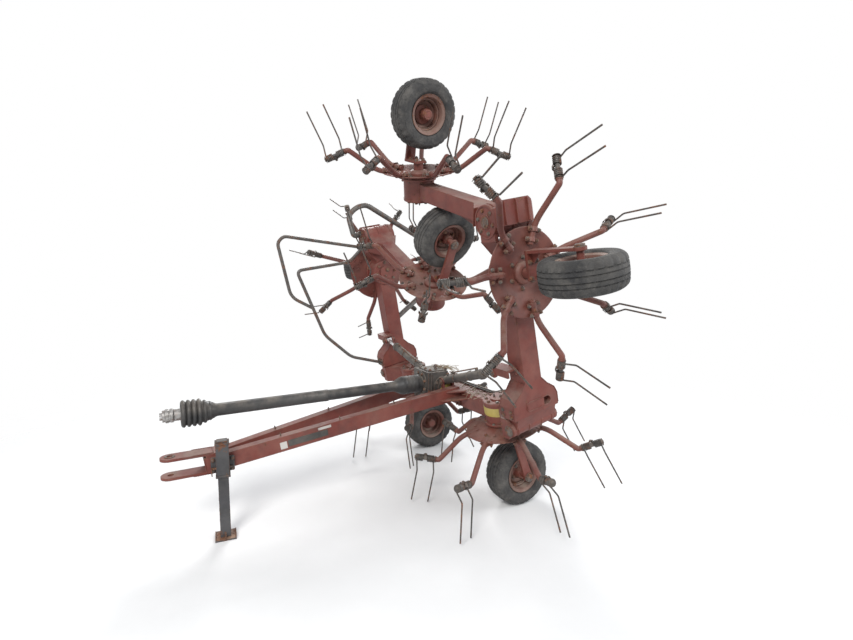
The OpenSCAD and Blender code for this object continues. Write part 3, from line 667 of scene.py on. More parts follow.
def double_tine(shape, local, way):
    """One spring tine: two coils on a core in line with the arm, a bridge between them, and two kinked legs."""
    wire, coil_r, per_turn, count = 0.00475, 0.0178, 12, 52

    def coil_point(x, r, a):
        return BLOCK @ Vector((x, way * r * cos(a), r * sin(a)))

    for s in (-1, 1):
        start = BLOCK @ Vector((s * TINE_GAP / 2, -way * COIL_SIDE, 0))
        knee = start + Vector((BEND[0], way * BEND[1], BEND[2]))
        tip = start + Vector((TIP[0], way * TIP[1], TIP[2]))
        k = BLOCK.inverted() @ knee
        leave = atan2(k.z, way * k.y) - acos(coil_r / hypot(k.y, k.z))
        u0, u1 = s * TINE_GAP / 2, s * 0.013
        top = coil_point(u0, coil_r, leave)
        path = [tip] + [tip.lerp(knee, t) for t in (0.3, 0.6, 0.85, 0.955)]
        path.append(knee.lerp((tip.lerp(knee, 0.955) + knee.lerp(top, 0.1)) / 2, 0.4))
        path += [knee.lerp(top, t) for t in (0.1, 0.4, 0.75)]
        for i in range(count + 1):
            r = coil_r + (0.0006 if i > count - 3 else 0)
            path.append(coil_point(u0 + (u1 - u0) * i / count, r, leave - 2 * pi * i / per_turn))
        for x, r, beyond in ((s * 0.007, 0.0215, 0.7), (0, 0.0225, 1.0)):
            path.append(coil_point(x, r, leave - 2 * pi * (count + beyond) / per_turn))
        shape.tube(path, wire, 7, local)


def tine_holder(shape, local):
    """Core through the coils, its end flanges and nut, and the clip that holds the tine's bridge."""
    clip = local @ BLOCK
    shape.lathe(mm((0, -68), (16, -68), (16, -62.5), (21.5, -62), (22.5, -60.5), (21.5, -59), (12.5, -58.5),
                   (12.2, 59), (21.5, 59.2), (22.2, 60.5), (21.5, 62), (13, 62.4), (0, 62.4)), 20, clip @ OUT)
    shape.lathe(mm((11.5, 62), (11.5, 66.8), (10, 67.6), (0, 67.6)), 6, clip @ OUT)
    for s in (-1, 1):
        shape.plate(box_outline(-0.01, 0.01, -0.0125, 0.0125, 0.003), 0.003,
                    clip @ turn(s * 60, "X") @ shift(z=0.0235))
    shape.bolt(clip @ shift(z=0.0235), 0.0042, 0.006)


def saddle_section():
    """Half round the arm, with a foot on either side."""
    arch, inner = [], []
    for i in range(1, 8):
        a = pi * (i / 8)
        arch.append((-cos(a) * (ARM_R + 0.0045), -sin(a) * (ARM_R + 0.0045)))
        inner.append((cos(a) * (ARM_R + 0.0006), -sin(a) * (ARM_R + 0.0006)))
    return (mm((-40, -4), (-21.5, -4)) + arch + mm((21.5, -4), (40, -4), (40, 0.6), (17.5, 0.6)) + inner
            + mm((-17.5, 0.6), (-40, 0.6)))


def rotor(name):
    place = WORK[name] @ shift(x=rotor_x(name))
    first = arm_turn(name)
    way = -1 if name.endswith("wing") else 1
    body = f"rotor_{name}"
    dish, wires, holders, clamps, bolts = (Shape(place) for _ in range(5))
    post, root, crest = POST_R + 0.001, DISC_R * 0.42, DISC_R * 0.47
    slope, lip = DISC_R * 0.78, DISC_R * 0.84
    dish.lathe([
        (post, DISC_TOP - 0.006), (root, DISC_TOP - 0.006), (crest, DISC_TOP - 0.0075),
        (slope, DISC_RIM + 0.0015), (lip, DISC_RIM - 0.0012), (DISC_R - 0.006, DISC_RIM - 0.0078),
        (DISC_R - 0.003, DISC_RIM - 0.008), (DISC_R, DISC_RIM - 0.0055), (DISC_R - 0.001, DISC_RIM - 0.0028),
        (DISC_R - 0.006, DISC_RIM - 0.0018), (lip, DISC_RIM + 0.005), (slope, DISC_RIM + 0.008),
        (crest, DISC_TOP - 0.0015), (root, DISC_TOP), (post, DISC_TOP),
    ], 96, closed=True)
    block_end = BLOCK @ shift(x=-BLOCK_HALF)
    line = bent([(DISC_R * 0.62, 0, DISC_RIM - 0.004), (DISC_R + 0.025, 0, DISC_RIM - 0.016),
                 block_end @ Vector((-0.022, 0, 0)), block_end @ Vector((0, 0, 0))], 0.055)
    collar = [(ARM_R - 0.001, -0.006), (ARM_R + 0.003, -0.004), (ARM_R + 0.003, 0.001), (ARM_R - 0.001, 0.003)]
    for k in range(ARMS):
        arm = turn(first + 360 * k / ARMS, "Z")
        dish.tube(line, ARM_R, 18, arm)
        dish.lathe(collar, 18, arm @ block_end @ OUT)
        double_tine(wires, arm, way)
        tine_holder(holders, arm)
        # Saddles that hold the arm's root under the disc's rim, each with two bolts
        for r, z in ((0.17, DISC_RIM - 0.0065), (0.222, DISC_RIM - 0.014)):
            foot = arm @ shift(x=r, z=z) @ turn(-8, "Y")
            clamps.plate(saddle_section(), 0.026, foot @ turn(90, "Z") @ FRONT @ shift(z=-0.013), 0.0008)
            for s in (-1, 1):
                bolts.bolt(foot @ shift(y=s * 0.031, z=-0.004) @ DOWN, 0.0052, 0.007, 0.006)
        # The same bolts' low round heads on the disc's upper side
        for r, z, tilt in ((0.17, DISC_TOP - 0.0125, 15), (0.218, DISC_RIM + 0.001, 12)):
            for s in (-1, 1):
                clamps.lathe(mm((9.5, -1), (9.5, 0.6), (7.5, 2.8), (4, 3.8), (0, 4.1)), 12,
                             arm @ shift(x=r, y=s * 0.031, z=z) @ turn(tilt, "Y"))
    clamps.lathe(mm((33, -6), (60, -6), (60, -22), (52, -34), (40, -40), (33, -40), z=DISC_TOP), 40, closed=True)
    for spot in ring_of(6, 0.082, 10):
        bolts.bolt(spot @ shift(z=DISC_TOP - 0.006) @ DOWN, 0.0058, 0.008, 0.004)
    dish.make(f"dished_rotor_{name}", body, *ROTOR_PAINT, [f"rotor_{name}"])
    wires.make(f"spring_tines_{name}", body, TINE, "tine_steel", [f"tines_{name}"])
    holders.make(f"tine_holders_{name}", body, *DARK_PAINT)
    clamps.make(f"arm_clamps_{name}", body, *ROTOR_PAINT)
    bolts.make(f"rotor_bolts_{name}", body, *BOLT_STEEL)


def housing(name):
    """Flange, ribs, cap and bolts of one gear housing, and the fittings of its wheel leg."""
    place = WORK[name] @ shift(x=rotor_x(name))
    body = "chassis" if name.endswith("inner") else name
    red, bolts = Shape(place), Shape(place)
    flange = DISC_TOP + 0.006
    red.lathe(mm((99, 0), (110, 0), (112.5, 2.5), (112.5, 13.5), (110, 16), (99, 16), z=flange), 56, closed=True)
    for spot in ring_of(8, 0.1045, 22.5):
        bolts.bolt(spot @ shift(z=flange + 0.015), 0.0045, 0.006)
    red.lathe(mm((98.5, -20), (102.5, -18), (103.5, -12), (103.5, -4), (101.5, 1), (98, 3), (60, 4.5), (54, 4),
                 z=HOUSING_TOP), 56)
    for spot in ring_of(8, 0.08, 0):
        bolts.bolt(spot @ shift(z=HOUSING_TOP + 0.0035), 0.0058, 0.0075)
    bolts.bolt(shift(x=0.018, y=0.012, z=HOUSING_TOP + 0.012), 0.0085, 0.01)
    bolts.lathe(mm((0, 0), (7, 0), (7, 10), (4.5, 12), (4.5, 20), (0, 22)), 12,
                shift(x=-0.025, y=-0.015, z=HOUSING_TOP + 0.011))
    # Wheel leg: clamping bolts on its top plate, brace, axle nut
    for x, y in ((-0.022, -0.024), (-0.022, 0.024), (0.06, -0.022), (0.06, 0.022)):
        bolts.bolt(shift(x=x, y=y, z=LEG_TOP - 0.016) @ DOWN, 0.0062, 0.009, 0.005)
    red.plate(mm((0, 0), (0, 55), (-55, 55), (-55, 47), (-8, 0)), 0.008,
              shift(x=LEG_X + 0.001, y=0.004, z=LEG_TOP - 0.07) @ FRONT)
    axle = shift(x=LEG_X + LEG_T, y=WHEEL_BACK) @ OUT
    bolts.lathe(mm((17.5, -1), (28, -1), (29, 0.5), (28.5, 3), (17.5, 3.2)), 28, axle, closed=True)
    bolts.lathe(mm((17.6, 2), (25, 2), (25.5, 4), (25.5, 12.5), (23.5, 14.2), (17.6, 14.2)), 6, axle, closed=True)
    bolts.lathe(mm((17, 6), (17, 12.5), (15, 14.5), (0, 14.5)), 20, axle)
    red.lathe(mm((31, -0.5), (31.5, 1), (30, 2.2), (29, 1)), 28, axle, closed=True)
    red.make(f"housing_trim_{name}", body, *RED_PAINT)
    bolts.make(f"housing_bolts_{name}", body, *BOLT_STEEL)


for name in ROTORS:
    tyre(name)
    rim(name)
    rotor(name)
    housing(name)


# Hinges and beams

def pin_end(shape, local, r, reach):
    """Washer, pin end and split pin, seated on a face at z 0. The CAD pin stands out by reach."""
    shape.ring(r + 0.0006, r * 1.75, 0.0035, local @ shift(z=0.0005), 28)
    shape.lathe([(r + 0.0003, 0.002), (r + 0.0003, reach + 0.001), (r - 0.002, reach + 0.003),
                 (0, reach + 0.003)], 28, local)
    shape.tube([(-r - 0.008, 0, 0.0065), (r + 0.006, 0, 0.0065), (r + 0.012, 0.004, 0.0055)], 0.0018, 6, local)
    eye = ((0.008, 0), (0.013, 0.003), (0.015, 0), (0.013, -0.003), (0.008, 0))
    shape.tube([(-r - x, y, 0.0065) for x, y in eye], 0.0016, 6, local)


def facing(y_side, x, y, z):
    """A place whose own z looks along +y or -y of the frame."""
    return shift(x, y_side * y, z) @ turn(-90 * y_side, "X")


def lug_bosses(side):
    """Bosses, pin ends and weld beads of the wing hinge's lugs on the main beam."""
    red, steel = Shape(WORK[f"{side}_inner"]), Shape(WORK[f"{side}_inner"])
    half, lug, top = HINGE_L / 2, HINGE_X - 0.07, RISE + 0.0605
    for y in (-1, 1):
        face = facing(y, HINGE_X, half, RISE)
        red.ring(0.019, 0.036, 0.005, face @ shift(z=-0.0005), 36)
        pin_end(steel, face @ shift(z=0.0048), 0.018, 0.004)
        red.bead([(lug, y * (half - 0.02), z) for z in (RISE - 0.058, RISE + 0.058)], 0.0035, seed=3)
        red.bead([(lug, y * half, top), (HINGE_X - 0.196, y * 0.064, top)], 0.003, seed=5)
    red.make(f"wing_hinge_bosses_{side}", "chassis", *RED_PAINT)
    steel.make(f"wing_hinge_pins_{side}", "chassis", *BOLT_STEEL)


def wing_trim(side):
    """Barrel bands, beads, bolts and the long hole's lip on the wing's foot, and the outer hinge's fittings."""
    red, steel = Shape(WORK[f"{side}_wing"]), Shape(WORK[f"{side}_wing"])
    half = HINGE_L / 2
    for y in (-0.125, -0.045, 0.045, 0.125):
        red.ring(0.0375, 0.041, 0.01, shift(HINGE_X, y + 0.005, RISE) @ FRONT, 40)
    for y in (0.085, -0.085):
        steel.lathe(mm((5.2, -1), (5.2, 4), (3, 5), (2.6, 8), (3.4, 10), (2, 12.5), (0, 12.5)), 8,
                    shift(HINGE_X - 0.027, y, RISE + 0.026) @ turn(-45, "Y"))
    foot = HINGE_X + 0.07
    for z in (-0.0605, 0.0605):
        path = [(foot + 0.012, half + 0.0005), (foot + 0.07, half + 0.0005), (foot + 0.11, half - 0.0165),
                (foot + 0.15, 0.0938), (foot + 0.19, 0.0605)]
        for y in (-1, 1):
            red.bead([(px, y * py, RISE + z) for px, py in path], 0.0026, seed=7)
    for y in (-1, 1):
        red.bead([(foot + 0.19, y * 0.0605, z) for z in (RISE - 0.058, RISE + 0.058)], 0.003, seed=9)
        for x in (foot + 0.02, foot + 0.052):
            for z in (RISE + 0.034, RISE - 0.034):
                steel.bolt(facing(y, x, half, z), 0.006, 0.008)
    # Rolled lip round the long hole in the foot's outer face
    cx, cy, slot_r, slot_l = foot + 0.05, 0.02, 0.026, 0.125
    lip = []
    for s in (1, -1):
        for i in range(13):
            a = pi * i / 12 + (0 if s > 0 else pi)
            lip.append((cx + cos(a) * slot_r, cy + s * slot_l / 2 + sin(a) * slot_r, RISE - BEAM_HALF))
    red.tube(lip, 0.0035, 8, closed=True)
    for x, y in ((cx + 0.003, cy - 0.045), (cx - 0.002, cy + 0.045)):
        steel.bolt(shift(x, y, RISE - 0.026) @ DOWN, 0.007, 0.009)
    # Outer hinge: bosses, bolt circle and ribs on its lugs, stiffening ribs along the trough
    end, span = OUTER_HINGE_X, OUTER_HINGE_L / 2
    for y in (-1, 1):
        face = facing(y, end, span, RISE)
        red.ring(0.019, 0.04, 0.004, face @ shift(z=-0.0005), 36)
        red.ring(DRUM_R - 0.01, DRUM_R - 0.0012, 0.004, face @ shift(z=-0.0005), 56)
        pin_end(steel, face @ shift(z=0.0038), 0.018, 0.0045)
        for spot in ring_of(6, 0.06, 12):
            steel.bolt(face @ spot, 0.0055, 0.007)
        for z, seed in ((RISE + 0.0602, 11), (RISE - 0.0602, 12)):
            red.bead([(end - 0.1, y * span, z), (end - 0.18, y * 0.0605, z)], 0.003, seed=seed)
    for y in (-0.075, 0.0, 0.075):
        red.plate(box_outline(0, 0.118, 0, 0.012, 0.002), 0.006,
                  shift(end - 0.028, y + 0.003, RISE - 0.116) @ FRONT)
    red.make(f"wing_trim_{side}", f"{side}_wing", *RED_PAINT)
    steel.make(f"wing_bolts_{side}", f"{side}_wing", *BOLT_STEEL)


def outer_arm_trim(side):
    """Bands and plugs on the outer arm's drum, weld beads and ribs on the arm."""
    red, steel = Shape(WORK[f"{side}_outer"]), Shape(WORK[f"{side}_outer"])
    end = OUTER_HINGE_X
    for y, r, height in ((-0.089, 0.0035, 0.01), (0.099, 0.0035, 0.01), (0.011, 0.003, 0.022)):
        red.ring(DRUM_R - 0.001, DRUM_R + r, height, shift(end, y, RISE) @ FRONT, 56)
    for a in (-40, 0, 40):
        steel.bolt(shift(end, 0, RISE) @ turn(-90 - a, "Y") @ OUT @ shift(z=DRUM_R + 0.0028), 0.0055, 0.007)
    arm = end + 0.105
    for y in (-1, 1):
        red.bead([(arm + 0.09, y * 0.0505, z) for z in (RISE - 0.048, RISE + 0.048)], 0.003, seed=13)
        red.bead([(arm, y * OUTER_HINGE_L / 2 * 0.98, RISE + 0.0502), (arm + 0.09, y * 0.0505, RISE + 0.0502)],
                 0.0028, seed=14)
        red.plate(mm((0, 0), (150, 0), (150, 6), (16, 30), (0, 30)), 0.008,
                  shift(arm + 0.1, y * 0.03 + 0.004, RISE + 0.0495) @ FRONT)
    red.make(f"outer_arm_trim_{side}", f"{side}_outer", *RED_PAINT)
    steel.make(f"outer_arm_bolts_{side}", f"{side}_outer", *BOLT_STEEL)


def beam_trim():
    """Weld beads round the housings, feet of the cylinders' ears, clamps and pipes along the main beam."""
    red, right, pipes = Shape(RIG), Shape(RIG_RIGHT), Shape(RIG)
    for shape in (red, right):
        for z in (RISE - 0.052, RISE + 0.057):
            arc = [radians(d) for d in range(-56, 57, 8)]
            shape.bead([(rotor_x("left_inner") + 0.1015 * cos(a), 0.1015 * sin(a), z) for a in arc],
                       0.0028, seed=21)
        shape.plate(box_outline(0, 0.052, 0, 0.05, 0.008), 0.008, shift(0.156, -BEAM_HALF, RISE - 0.058) @ FRONT)
        for x in (0.167, 0.197):
            for z in (-0.047, -0.019):
                shape.bolt(facing(-1, x, 0.068, RISE + z), 0.005, 0.007)
    for x in (0.24, 0.36, 0.44):
        red.plate(box_outline(-0.012, 0.012, -0.03, 0.03, 0.004), 0.004, shift(x, 0.04, RISE + BEAM_HALF))
    for y in (0.03, 0.048):
        line = ((0.05, 0), (0.47, 0), (0.49, 0.06), (0.66, 0.06), (0.7, 0.01))
        pipes.tube(bent([(x, y + dy, RISE + 0.0675) for x, dy in line], 0.03), 0.0055, 10)
    red.make("beam_trim_left", "chassis", *RED_PAINT)
    right.make("beam_trim_right", "chassis", *RED_PAINT)
    pipes.make("beam_pipes", "chassis", *DARK_PAINT)


def blank_plates():
    """Bare plates in place of signs: round the left gear housing and on the gearbox's left cover."""
    steps, low, high = 18, RISE - 0.012, RISE + 0.04
    verts, faces = [], []
    for i in range(steps + 1):
        a = radians(218 + 100 * i / steps)
        for r, z in ((0.0998, low), (0.1018, low), (0.1018, high), (0.0998, high)):
            verts.append((rotor_x("left_inner") + r * cos(a), r * sin(a), z))
    for i in range(steps):
        for k in range(4):
            faces.append((4 * i + k, 4 * i + 4 + k, 4 * i + 4 + (k + 1) % 4, 4 * i + (k + 1) % 4))
    faces += [(0, 1, 2, 3), (4 * steps + 3, 4 * steps + 2, 4 * steps + 1, 4 * steps)]
    curved, slanted = Shape(RIG), Shape()
    curved.add(verts, faces)
    curved.make("blank_yellow_plate_left", "chassis", YELLOW, "red_paint")
    slanted.plate(mm((-80, -55), (-55, -64), (80, 18), (80, 56), (50, 58), (-80, -12)), 0.0018,
                  shift(0.1218, 1.665, SHAFT_Z - 0.046) @ turn(90, "Z") @ FRONT, 0.0004)
    slanted.make("blank_yellow_plate_gearbox", "chassis", YELLOW, "red_paint")


def cylinder(side):
    """Fold cylinder: gland, base, ports with a pipe, and pins."""
    out, pin = joint_axis(f"{side}_rod_slide"), joint_axis(f"{side}_cylinder_tilt")
    up = pin.cross(out)
    if up.z < 0:
        up.negate()
    place = columns(out, up.cross(out), up, Vector(JOINTS[f"{side}_cylinder_tilt"]["pos_m"]))
    dark, steel = Shape(place), Shape(place)
    dark.lathe(mm((15, 462), (31.5, 462), (32.8, 464), (32.8, 484), (30, 488), (30, 492), (18, 494), (15, 494)),
               36, OUT, closed=True)
    for spot in ring_of(4, 0.0322, 45):
        dark.lathe(mm((0, -2), (4.5, -2), (4.5, 1.6), (0, 1.6)), 10, OUT @ shift(z=0.474) @ spot @ OUT)
    dark.lathe(mm((27.5, 20), (30, 22), (30.5, 26), (30, 30), (27.5, 32)), 36, OUT)
    dark.lathe(mm((27.5, 452), (29, 454), (29.2, 457), (29, 460), (27.5, 462)), 36, OUT)
    for x in (0.05, 0.43):
        dark.lathe(mm((10.5, 20), (10.5, 37.5), (9.5, 38.5), (0, 38.5)), 16, shift(x=x))
        steel.lathe(mm((10, 36), (10, 44.5), (8.5, 45.5), (0, 45.5)), 6, shift(x=x))
    steel.tube(bent(mm((430, 0, 42), (400, 0, 41.5), (390, 12, 39.5), (110, 12, 39.5), (95, 6, 44), (85, 0, 50)),
                    0.012), 0.0045, 10)
    for x in (0.15, 0.33):
        band = [2 * pi * i / 24 for i in range(24)]
        steel.tube([(x, 0.0295 * cos(a), 0.0295 * sin(a)) for a in band], 0.0022, 6, closed=True)
        steel.plate(box_outline(-0.006, 0.006, -0.01, 0.014, 0.001), 0.003, shift(x, 0.006, 0.0285))
    dark.make(f"cylinder_trim_{side}", f"{side}_cylinder", *DARK_PAINT)
    steel.make(f"cylinder_fittings_{side}", f"{side}_cylinder", *BOLT_STEEL)
    # Pins in the ears on the main beam and on the wing
    pins, heads = Shape(WORK[f"{side}_inner"]), Shape(WORK[f"{side}_wing"])
    for y in (-1, 1):
        towards = turn(-90 * y, "X")
        pin_end(pins, shift(ROOT_PIN[0], CYLINDER_Y + y * 0.0425, ROOT_PIN[1]) @ towards, 0.012, 0.0075)
        heads.bolt(shift(ROD_PIN[0], CYLINDER_Y + y * 0.0445, ROD_PIN[1]) @ towards, 0.0085, 0.006)
    pins.make(f"cylinder_root_pins_{side}", "chassis", *BOLT_STEEL)
    heads.make(f"rod_pin_heads_{side}", f"{side}_wing", *BOLT_STEEL)


for side in SIDES:
    lug_bosses(side)
    wing_trim(side)
    outer_arm_trim(side)
    cylinder(side)
beam_trim()
blank_plates()


# Drawbar, jack and shaft

def rail_frame(side):
    """x along the rail, y outwards, z up, from the middle of its front end."""
    start, end = Vector(RAIL_START), Vector(RAIL_END)
    start.x *= side
    end.x *= side
    along = (end - start).normalized()
    flat = Vector((along.x, along.y, 0)).normalized()
    outwards = Vector((flat.y, -flat.x, 0)) * side
    up = along.cross(outwards)
    if up.z < 0:
        up.negate()
    return columns(along, outwards, up, start)


def drawbar():
    """Weld beads, gussets and hose clips of the rails, rings and beads of the hitch plates, blank plates."""
    red, steel = Shape(), Shape()
    top, face = RAIL_H / 2, RAIL_W / 2
    for s in (-1, 1):
        place = rail_frame(s)
        for z in (-top - 0.0005, top + 0.0005):
            red.bead([(0.002, -0.028, z), (0.002, 0.028, z)], 0.003, place, 31)
        red.bead([(0.0, 0.0302, -0.043), (0.0, 0.0302, 0.043)], 0.003, place, 32)
        for outline, x, z in ((mm((0, 0), (170, 0), (170, 85), (150, 85)), 1.452, -0.03),
                              (mm((0, 0), (120, 0), (120, 70), (105, 70)), 1.5, 0.02)):
            red.plate(outline, 0.01, place @ shift(x=x, y=face - 0.001, z=z))
        red.bead([(1.452, 0.0315, -0.018), (1.615, 0.0315, -0.018)], 0.0028, place, 33)
        for x in (0.42, 0.78, 1.14):
            steel.tube([(x, -0.006, top - 0.001), (x, -0.008, top + 0.012), (x, 0.0, top + 0.019),
                        (x, 0.008, top + 0.012), (x, 0.006, top - 0.001)], 0.0028, 6, place)
    for s in (-1, 1):
        level = shift(z=s * 0.059) @ (Matrix.Identity(4) if s > 0 else DOWN)
        steel.ring(0.0162, 0.027, 0.004, level @ shift(z=-0.0005), 36)
        for x in (-0.0495, 0.0495):
            red.bead([(x, 0.11, s * 0.0592), (x, 0.214, s * 0.0592)], 0.003, seed=34)
    red.bead([(-0.049, 0.2155, 0.059), (0.049, 0.2155, 0.059)], 0.003, seed=35)
    red.make("drawbar_welds", "chassis", *RED_PAINT)
    steel.make("drawbar_fittings", "chassis", *BOLT_STEEL)
    pale, dark = Shape(place), Shape(place)
    side = shift(y=face) @ turn(-90, "X") @ Matrix.Scale(-1, 4, (0, 1, 0))
    for shape, x0, x1, z0, z1 in ((pale, 0.405, 0.445, -0.029, 0.013), (dark, 0.451, 0.69, -0.024, 0.016),
                                  (pale, 0.635, 0.715, 0.021, 0.037)):
        shape.plate(box_outline(x0, x1, z0, z1, 0.002), 0.0014, side, 0.0003)
    pale.make("blank_pale_plates", "chassis", PALE, "red_paint")
    dark.make("blank_dark_plate", "chassis", *DARK_PAINT)


def jack():
    """Sleeve collars, flange with bolts, locking pin on its ring, and the foot's turned-up rim."""
    low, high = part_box("jack_sleeve")
    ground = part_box("jack_leg")[0][2]
    centre = (Vector(low) + Vector(high)) / 2
    rail = rail_frame(1)
    yaw = degrees(atan2(rail[0][0], rail[1][0]))
    place = shift(centre.x, centre.y, 0) @ turn(-yaw, "Z")
    dark, steel, foot, leg = (Shape(place) for _ in range(4))
    half = JACK_HALF
    for z in (high[2] - 0.01, low[2] + 0.0005):
        for s in (-1, 1):
            side = shift(y=s * half + 0.004 * (s > 0), z=z) @ FRONT
            dark.plate(box_outline(-half - 0.004, half + 0.004, 0, 0.012, 0.002), 0.004, side)
            dark.plate(box_outline(-half - 0.003, half + 0.003, 0, 0.012, 0.002), 0.004, turn(90, "Z") @ side)
    # Flange on the rail's face, standing out to both sides of the sleeve
    dark.plate(box_outline(-0.062, 0.062, -0.046, 0.04, 0.006), 0.008,
               shift(x=-half + 0.0078) @ turn(90, "Z") @ FRONT)
    for y in (-0.05, 0.05):
        for z in (-0.032, 0.026):
            steel.bolt(shift(x=-half + 0.0157, y=y, z=z) @ OUT, 0.0055, 0.008, 0.004)
    pin_z = low[2] + 0.04
    steel.tube([(-0.012, -half - 0.026, pin_z), (-0.012, half + 0.016, pin_z)], 0.0075, 14)
    ring = mm((-12, -22, 0), (20, -24, 4), (34, -22, -20), (10, -22, -34), (-10, -24, -14), z=pin_z)
    steel.tube(bent([(x, y - half, z) for x, y, z in ring], 0.012), 0.003, 8)
    dark.make("jack_sleeve_trim", "chassis", JACK, "jack_steel")
    steel.make("jack_pin_and_bolts", "chassis", *BOLT_STEEL)
    corner = 0.0545
    foot.plate(square(corner, 0.012), 0.0088, shift(z=ground), 0.0015)
    for s in (-1, 1):
        foot.plate(box_outline(-0.044, 0.044, 0, 0.018, 0.005), 0.004,
                   shift(y=s * corner + (0.0005 if s > 0 else 0.0035), z=ground + 0.001) @ FRONT)
        foot.plate(mm((27.5, 8.5), (52, 8.5), (27.5, 40)), 0.005,
                   turn(0 if s > 0 else 180, "Z") @ shift(y=0.0025, z=ground) @ FRONT)
    foot.make("jack_foot_plate", "jack", FOOT, "jack_steel")
    for z in (0.1, 0.16, 0.22):
        leg.lathe(mm((6.2, 0), (8.5, 0), (8.5, 0.8), (6.2, 1)), 16, shift(y=-0.0275, z=ground + z) @ FRONT,
                  closed=True)
    leg.make("jack_leg_holes", "jack", *BOLT_STEEL)


def shaft():
    """Guard with its bellows, telescoping tubes and cone, and the universal joint in the open bell."""
    place = shift(z=SHAFT_Z) @ turn(-90, "X")
    guard, steel = Shape(place), Shape(place)
    front, back = GUARD_FRONT, GUARD_BACK
    outer = []
    for i in range(6):
        r = 75.5 if i < 4 else 75.5 - (i - 3) * 10.5
        outer += mm((r - 12.5, 0), (r - 4, 4.5), (r - 0.6, 9.5), (r, 13), (r - 0.6, 16.5), (r - 6, 21.5),
                    z=front + 0.004 + i * 0.027)
    outer += mm((45, 170), (40, 178), (36.2, 190), z=front)
    outer += mm((36, 870), (37.2, 872), (37.2, 892), (36, 894), (33.5, 895))
    outer += mm((33.5, -200), (36.5, -188), (42, -176), (56, -146), (60.5, -135), z=back)
    for i in range(4):
        outer += mm((61.5, 0), (62, 4), (62, 14), (60, 18), (59.6, 24), z=back - 0.13 + i * 0.03)
    outer += mm((62, -8), (62, 0), z=back)
    inner = mm((58.5, 0), (57.5, -130), (33, -190), (31, -210), z=back) + mm((31, 300))
    inner += mm((33.5, 190), (52, 150), (60, 110), (60, 4), z=front)
    guard.lathe(outer + inner, 56, closed=True)
    guard.make("bellows_shaft_guard", "chassis", PLASTIC, "guard_plastic", ["shaft_guard"], sharp=50)
    steel.lathe(mm((32.2, 12), (34.5, 14), (38.5, 16), (38.5, 30), (35.5, 32), (35.5, 38), (38.5, 40), (38.5, 52),
                   (34.5, 56), (32.2, 58), z=SHAFT_FRONT), 40)
    for k in range(6):
        steel.tube([(0, 0, 0), (0.014, 0, 0)], 0.0032, 8,
                   turn(60 * k, "Z") @ shift(x=0.0175, z=SHAFT_FRONT + 0.0005) @ OUT)
    for s in (-1, 1):
        ear = shift(y=0.032 * s + 0.006) @ FRONT
        steel.plate(mm((-24, 0), (24, 0), (24, 50), (15, 64), (-15, 64), (-24, 50)), 0.012, shift(z=0.062) @ ear)
        steel.plate(mm((-24, -46), (-15, -60), (15, -60), (24, -46), (24, 0), (-24, 0)), 0.012,
                    turn(90, "Z") @ shift(z=0.168) @ ear)
    for a in (0, 90):
        steel.lathe(mm((0, -41), (11.5, -41), (12.5, -39), (12.5, 39), (11.5, 41), (0, 41)), 20,
                    turn(a, "Z") @ shift(z=0.114) @ FRONT)
    steel.make("shaft_joint", "drive_shaft", STEEL, "bare_steel")


def gearbox():
    """Input gearbox: flanged front bearing, bolted covers, ribs, breather and plugs."""
    front, half = GEARBOX_FRONT, GEARBOX_HALF
    z0, z1 = SHAFT_Z - 0.11, SHAFT_Z + 0.09
    dark, bolts = Shape(), Shape()
    nose = shift(y=front, z=SHAFT_Z) @ FRONT
    dark.ring(0.0605, 0.088, 0.01, nose @ shift(z=-0.001), 48)
    for spot in ring_of(8, 0.0745, 22.5):
        bolts.bolt(nose @ spot @ shift(z=0.009), 0.0052, 0.007)
    dark.plate(box_outline(-0.082, 0.082, 0, 0.15, 0.014), 0.008, shift(y=front + 0.02, z=z1 - 0.001))
    for x in (-0.068, 0, 0.068):
        for y in (0.034, 0.156):
            bolts.bolt(shift(x, front + y, z1 + 0.007), 0.0052, 0.007)
    bolts.lathe(mm((11, 0), (11, 6), (7, 8), (7, 14), (12.5, 17), (12.5, 26), (9, 29), (0, 29)), 14,
                shift(0.034, front + 0.095, z1 + 0.006))
    for s in (-1, 1):
        cover = shift(s * half, front + 0.11, SHAFT_Z - 0.012) @ turn(90 * s, "Y")
        for r, height, segments in ((0.07, 0.012, 44), (0.042, 0.018, 36)):
            dark.ring(0.001, r, height, cover @ shift(z=-0.001), segments)
        for spot in ring_of(6, 0.058, 0):
            bolts.bolt(cover @ spot @ shift(z=0.0105), 0.0052, 0.007)
        for y in (0.014, 0.192):
            dark.plate(box_outline(0, 0.012, 0, z1 - z0 - 0.01, 0.003), 0.008,
                       shift(s * half - 0.012 * (s < 0), front + y + 0.008, z0 + 0.005) @ FRONT)
    for x in (-0.07, 0.07):
        dark.plate(box_outline(-0.005, 0.005, 0, 0.022, 0.001), 0.15,
                   shift(x, front + 0.03, z0 + 0.001) @ turn(-90, "X") @ shift(y=0.001))
    bolts.bolt(shift(0, front + 0.095, z0 - 0.0005) @ DOWN, 0.01, 0.009)
    bolts.bolt(shift(-0.07, front, SHAFT_Z - 0.085) @ FRONT, 0.0085, 0.008)
    dark.make("gearbox_covers", "chassis", *DARK_PAINT)
    bolts.make("gearbox_bolts", "chassis", *BOLT_STEEL)


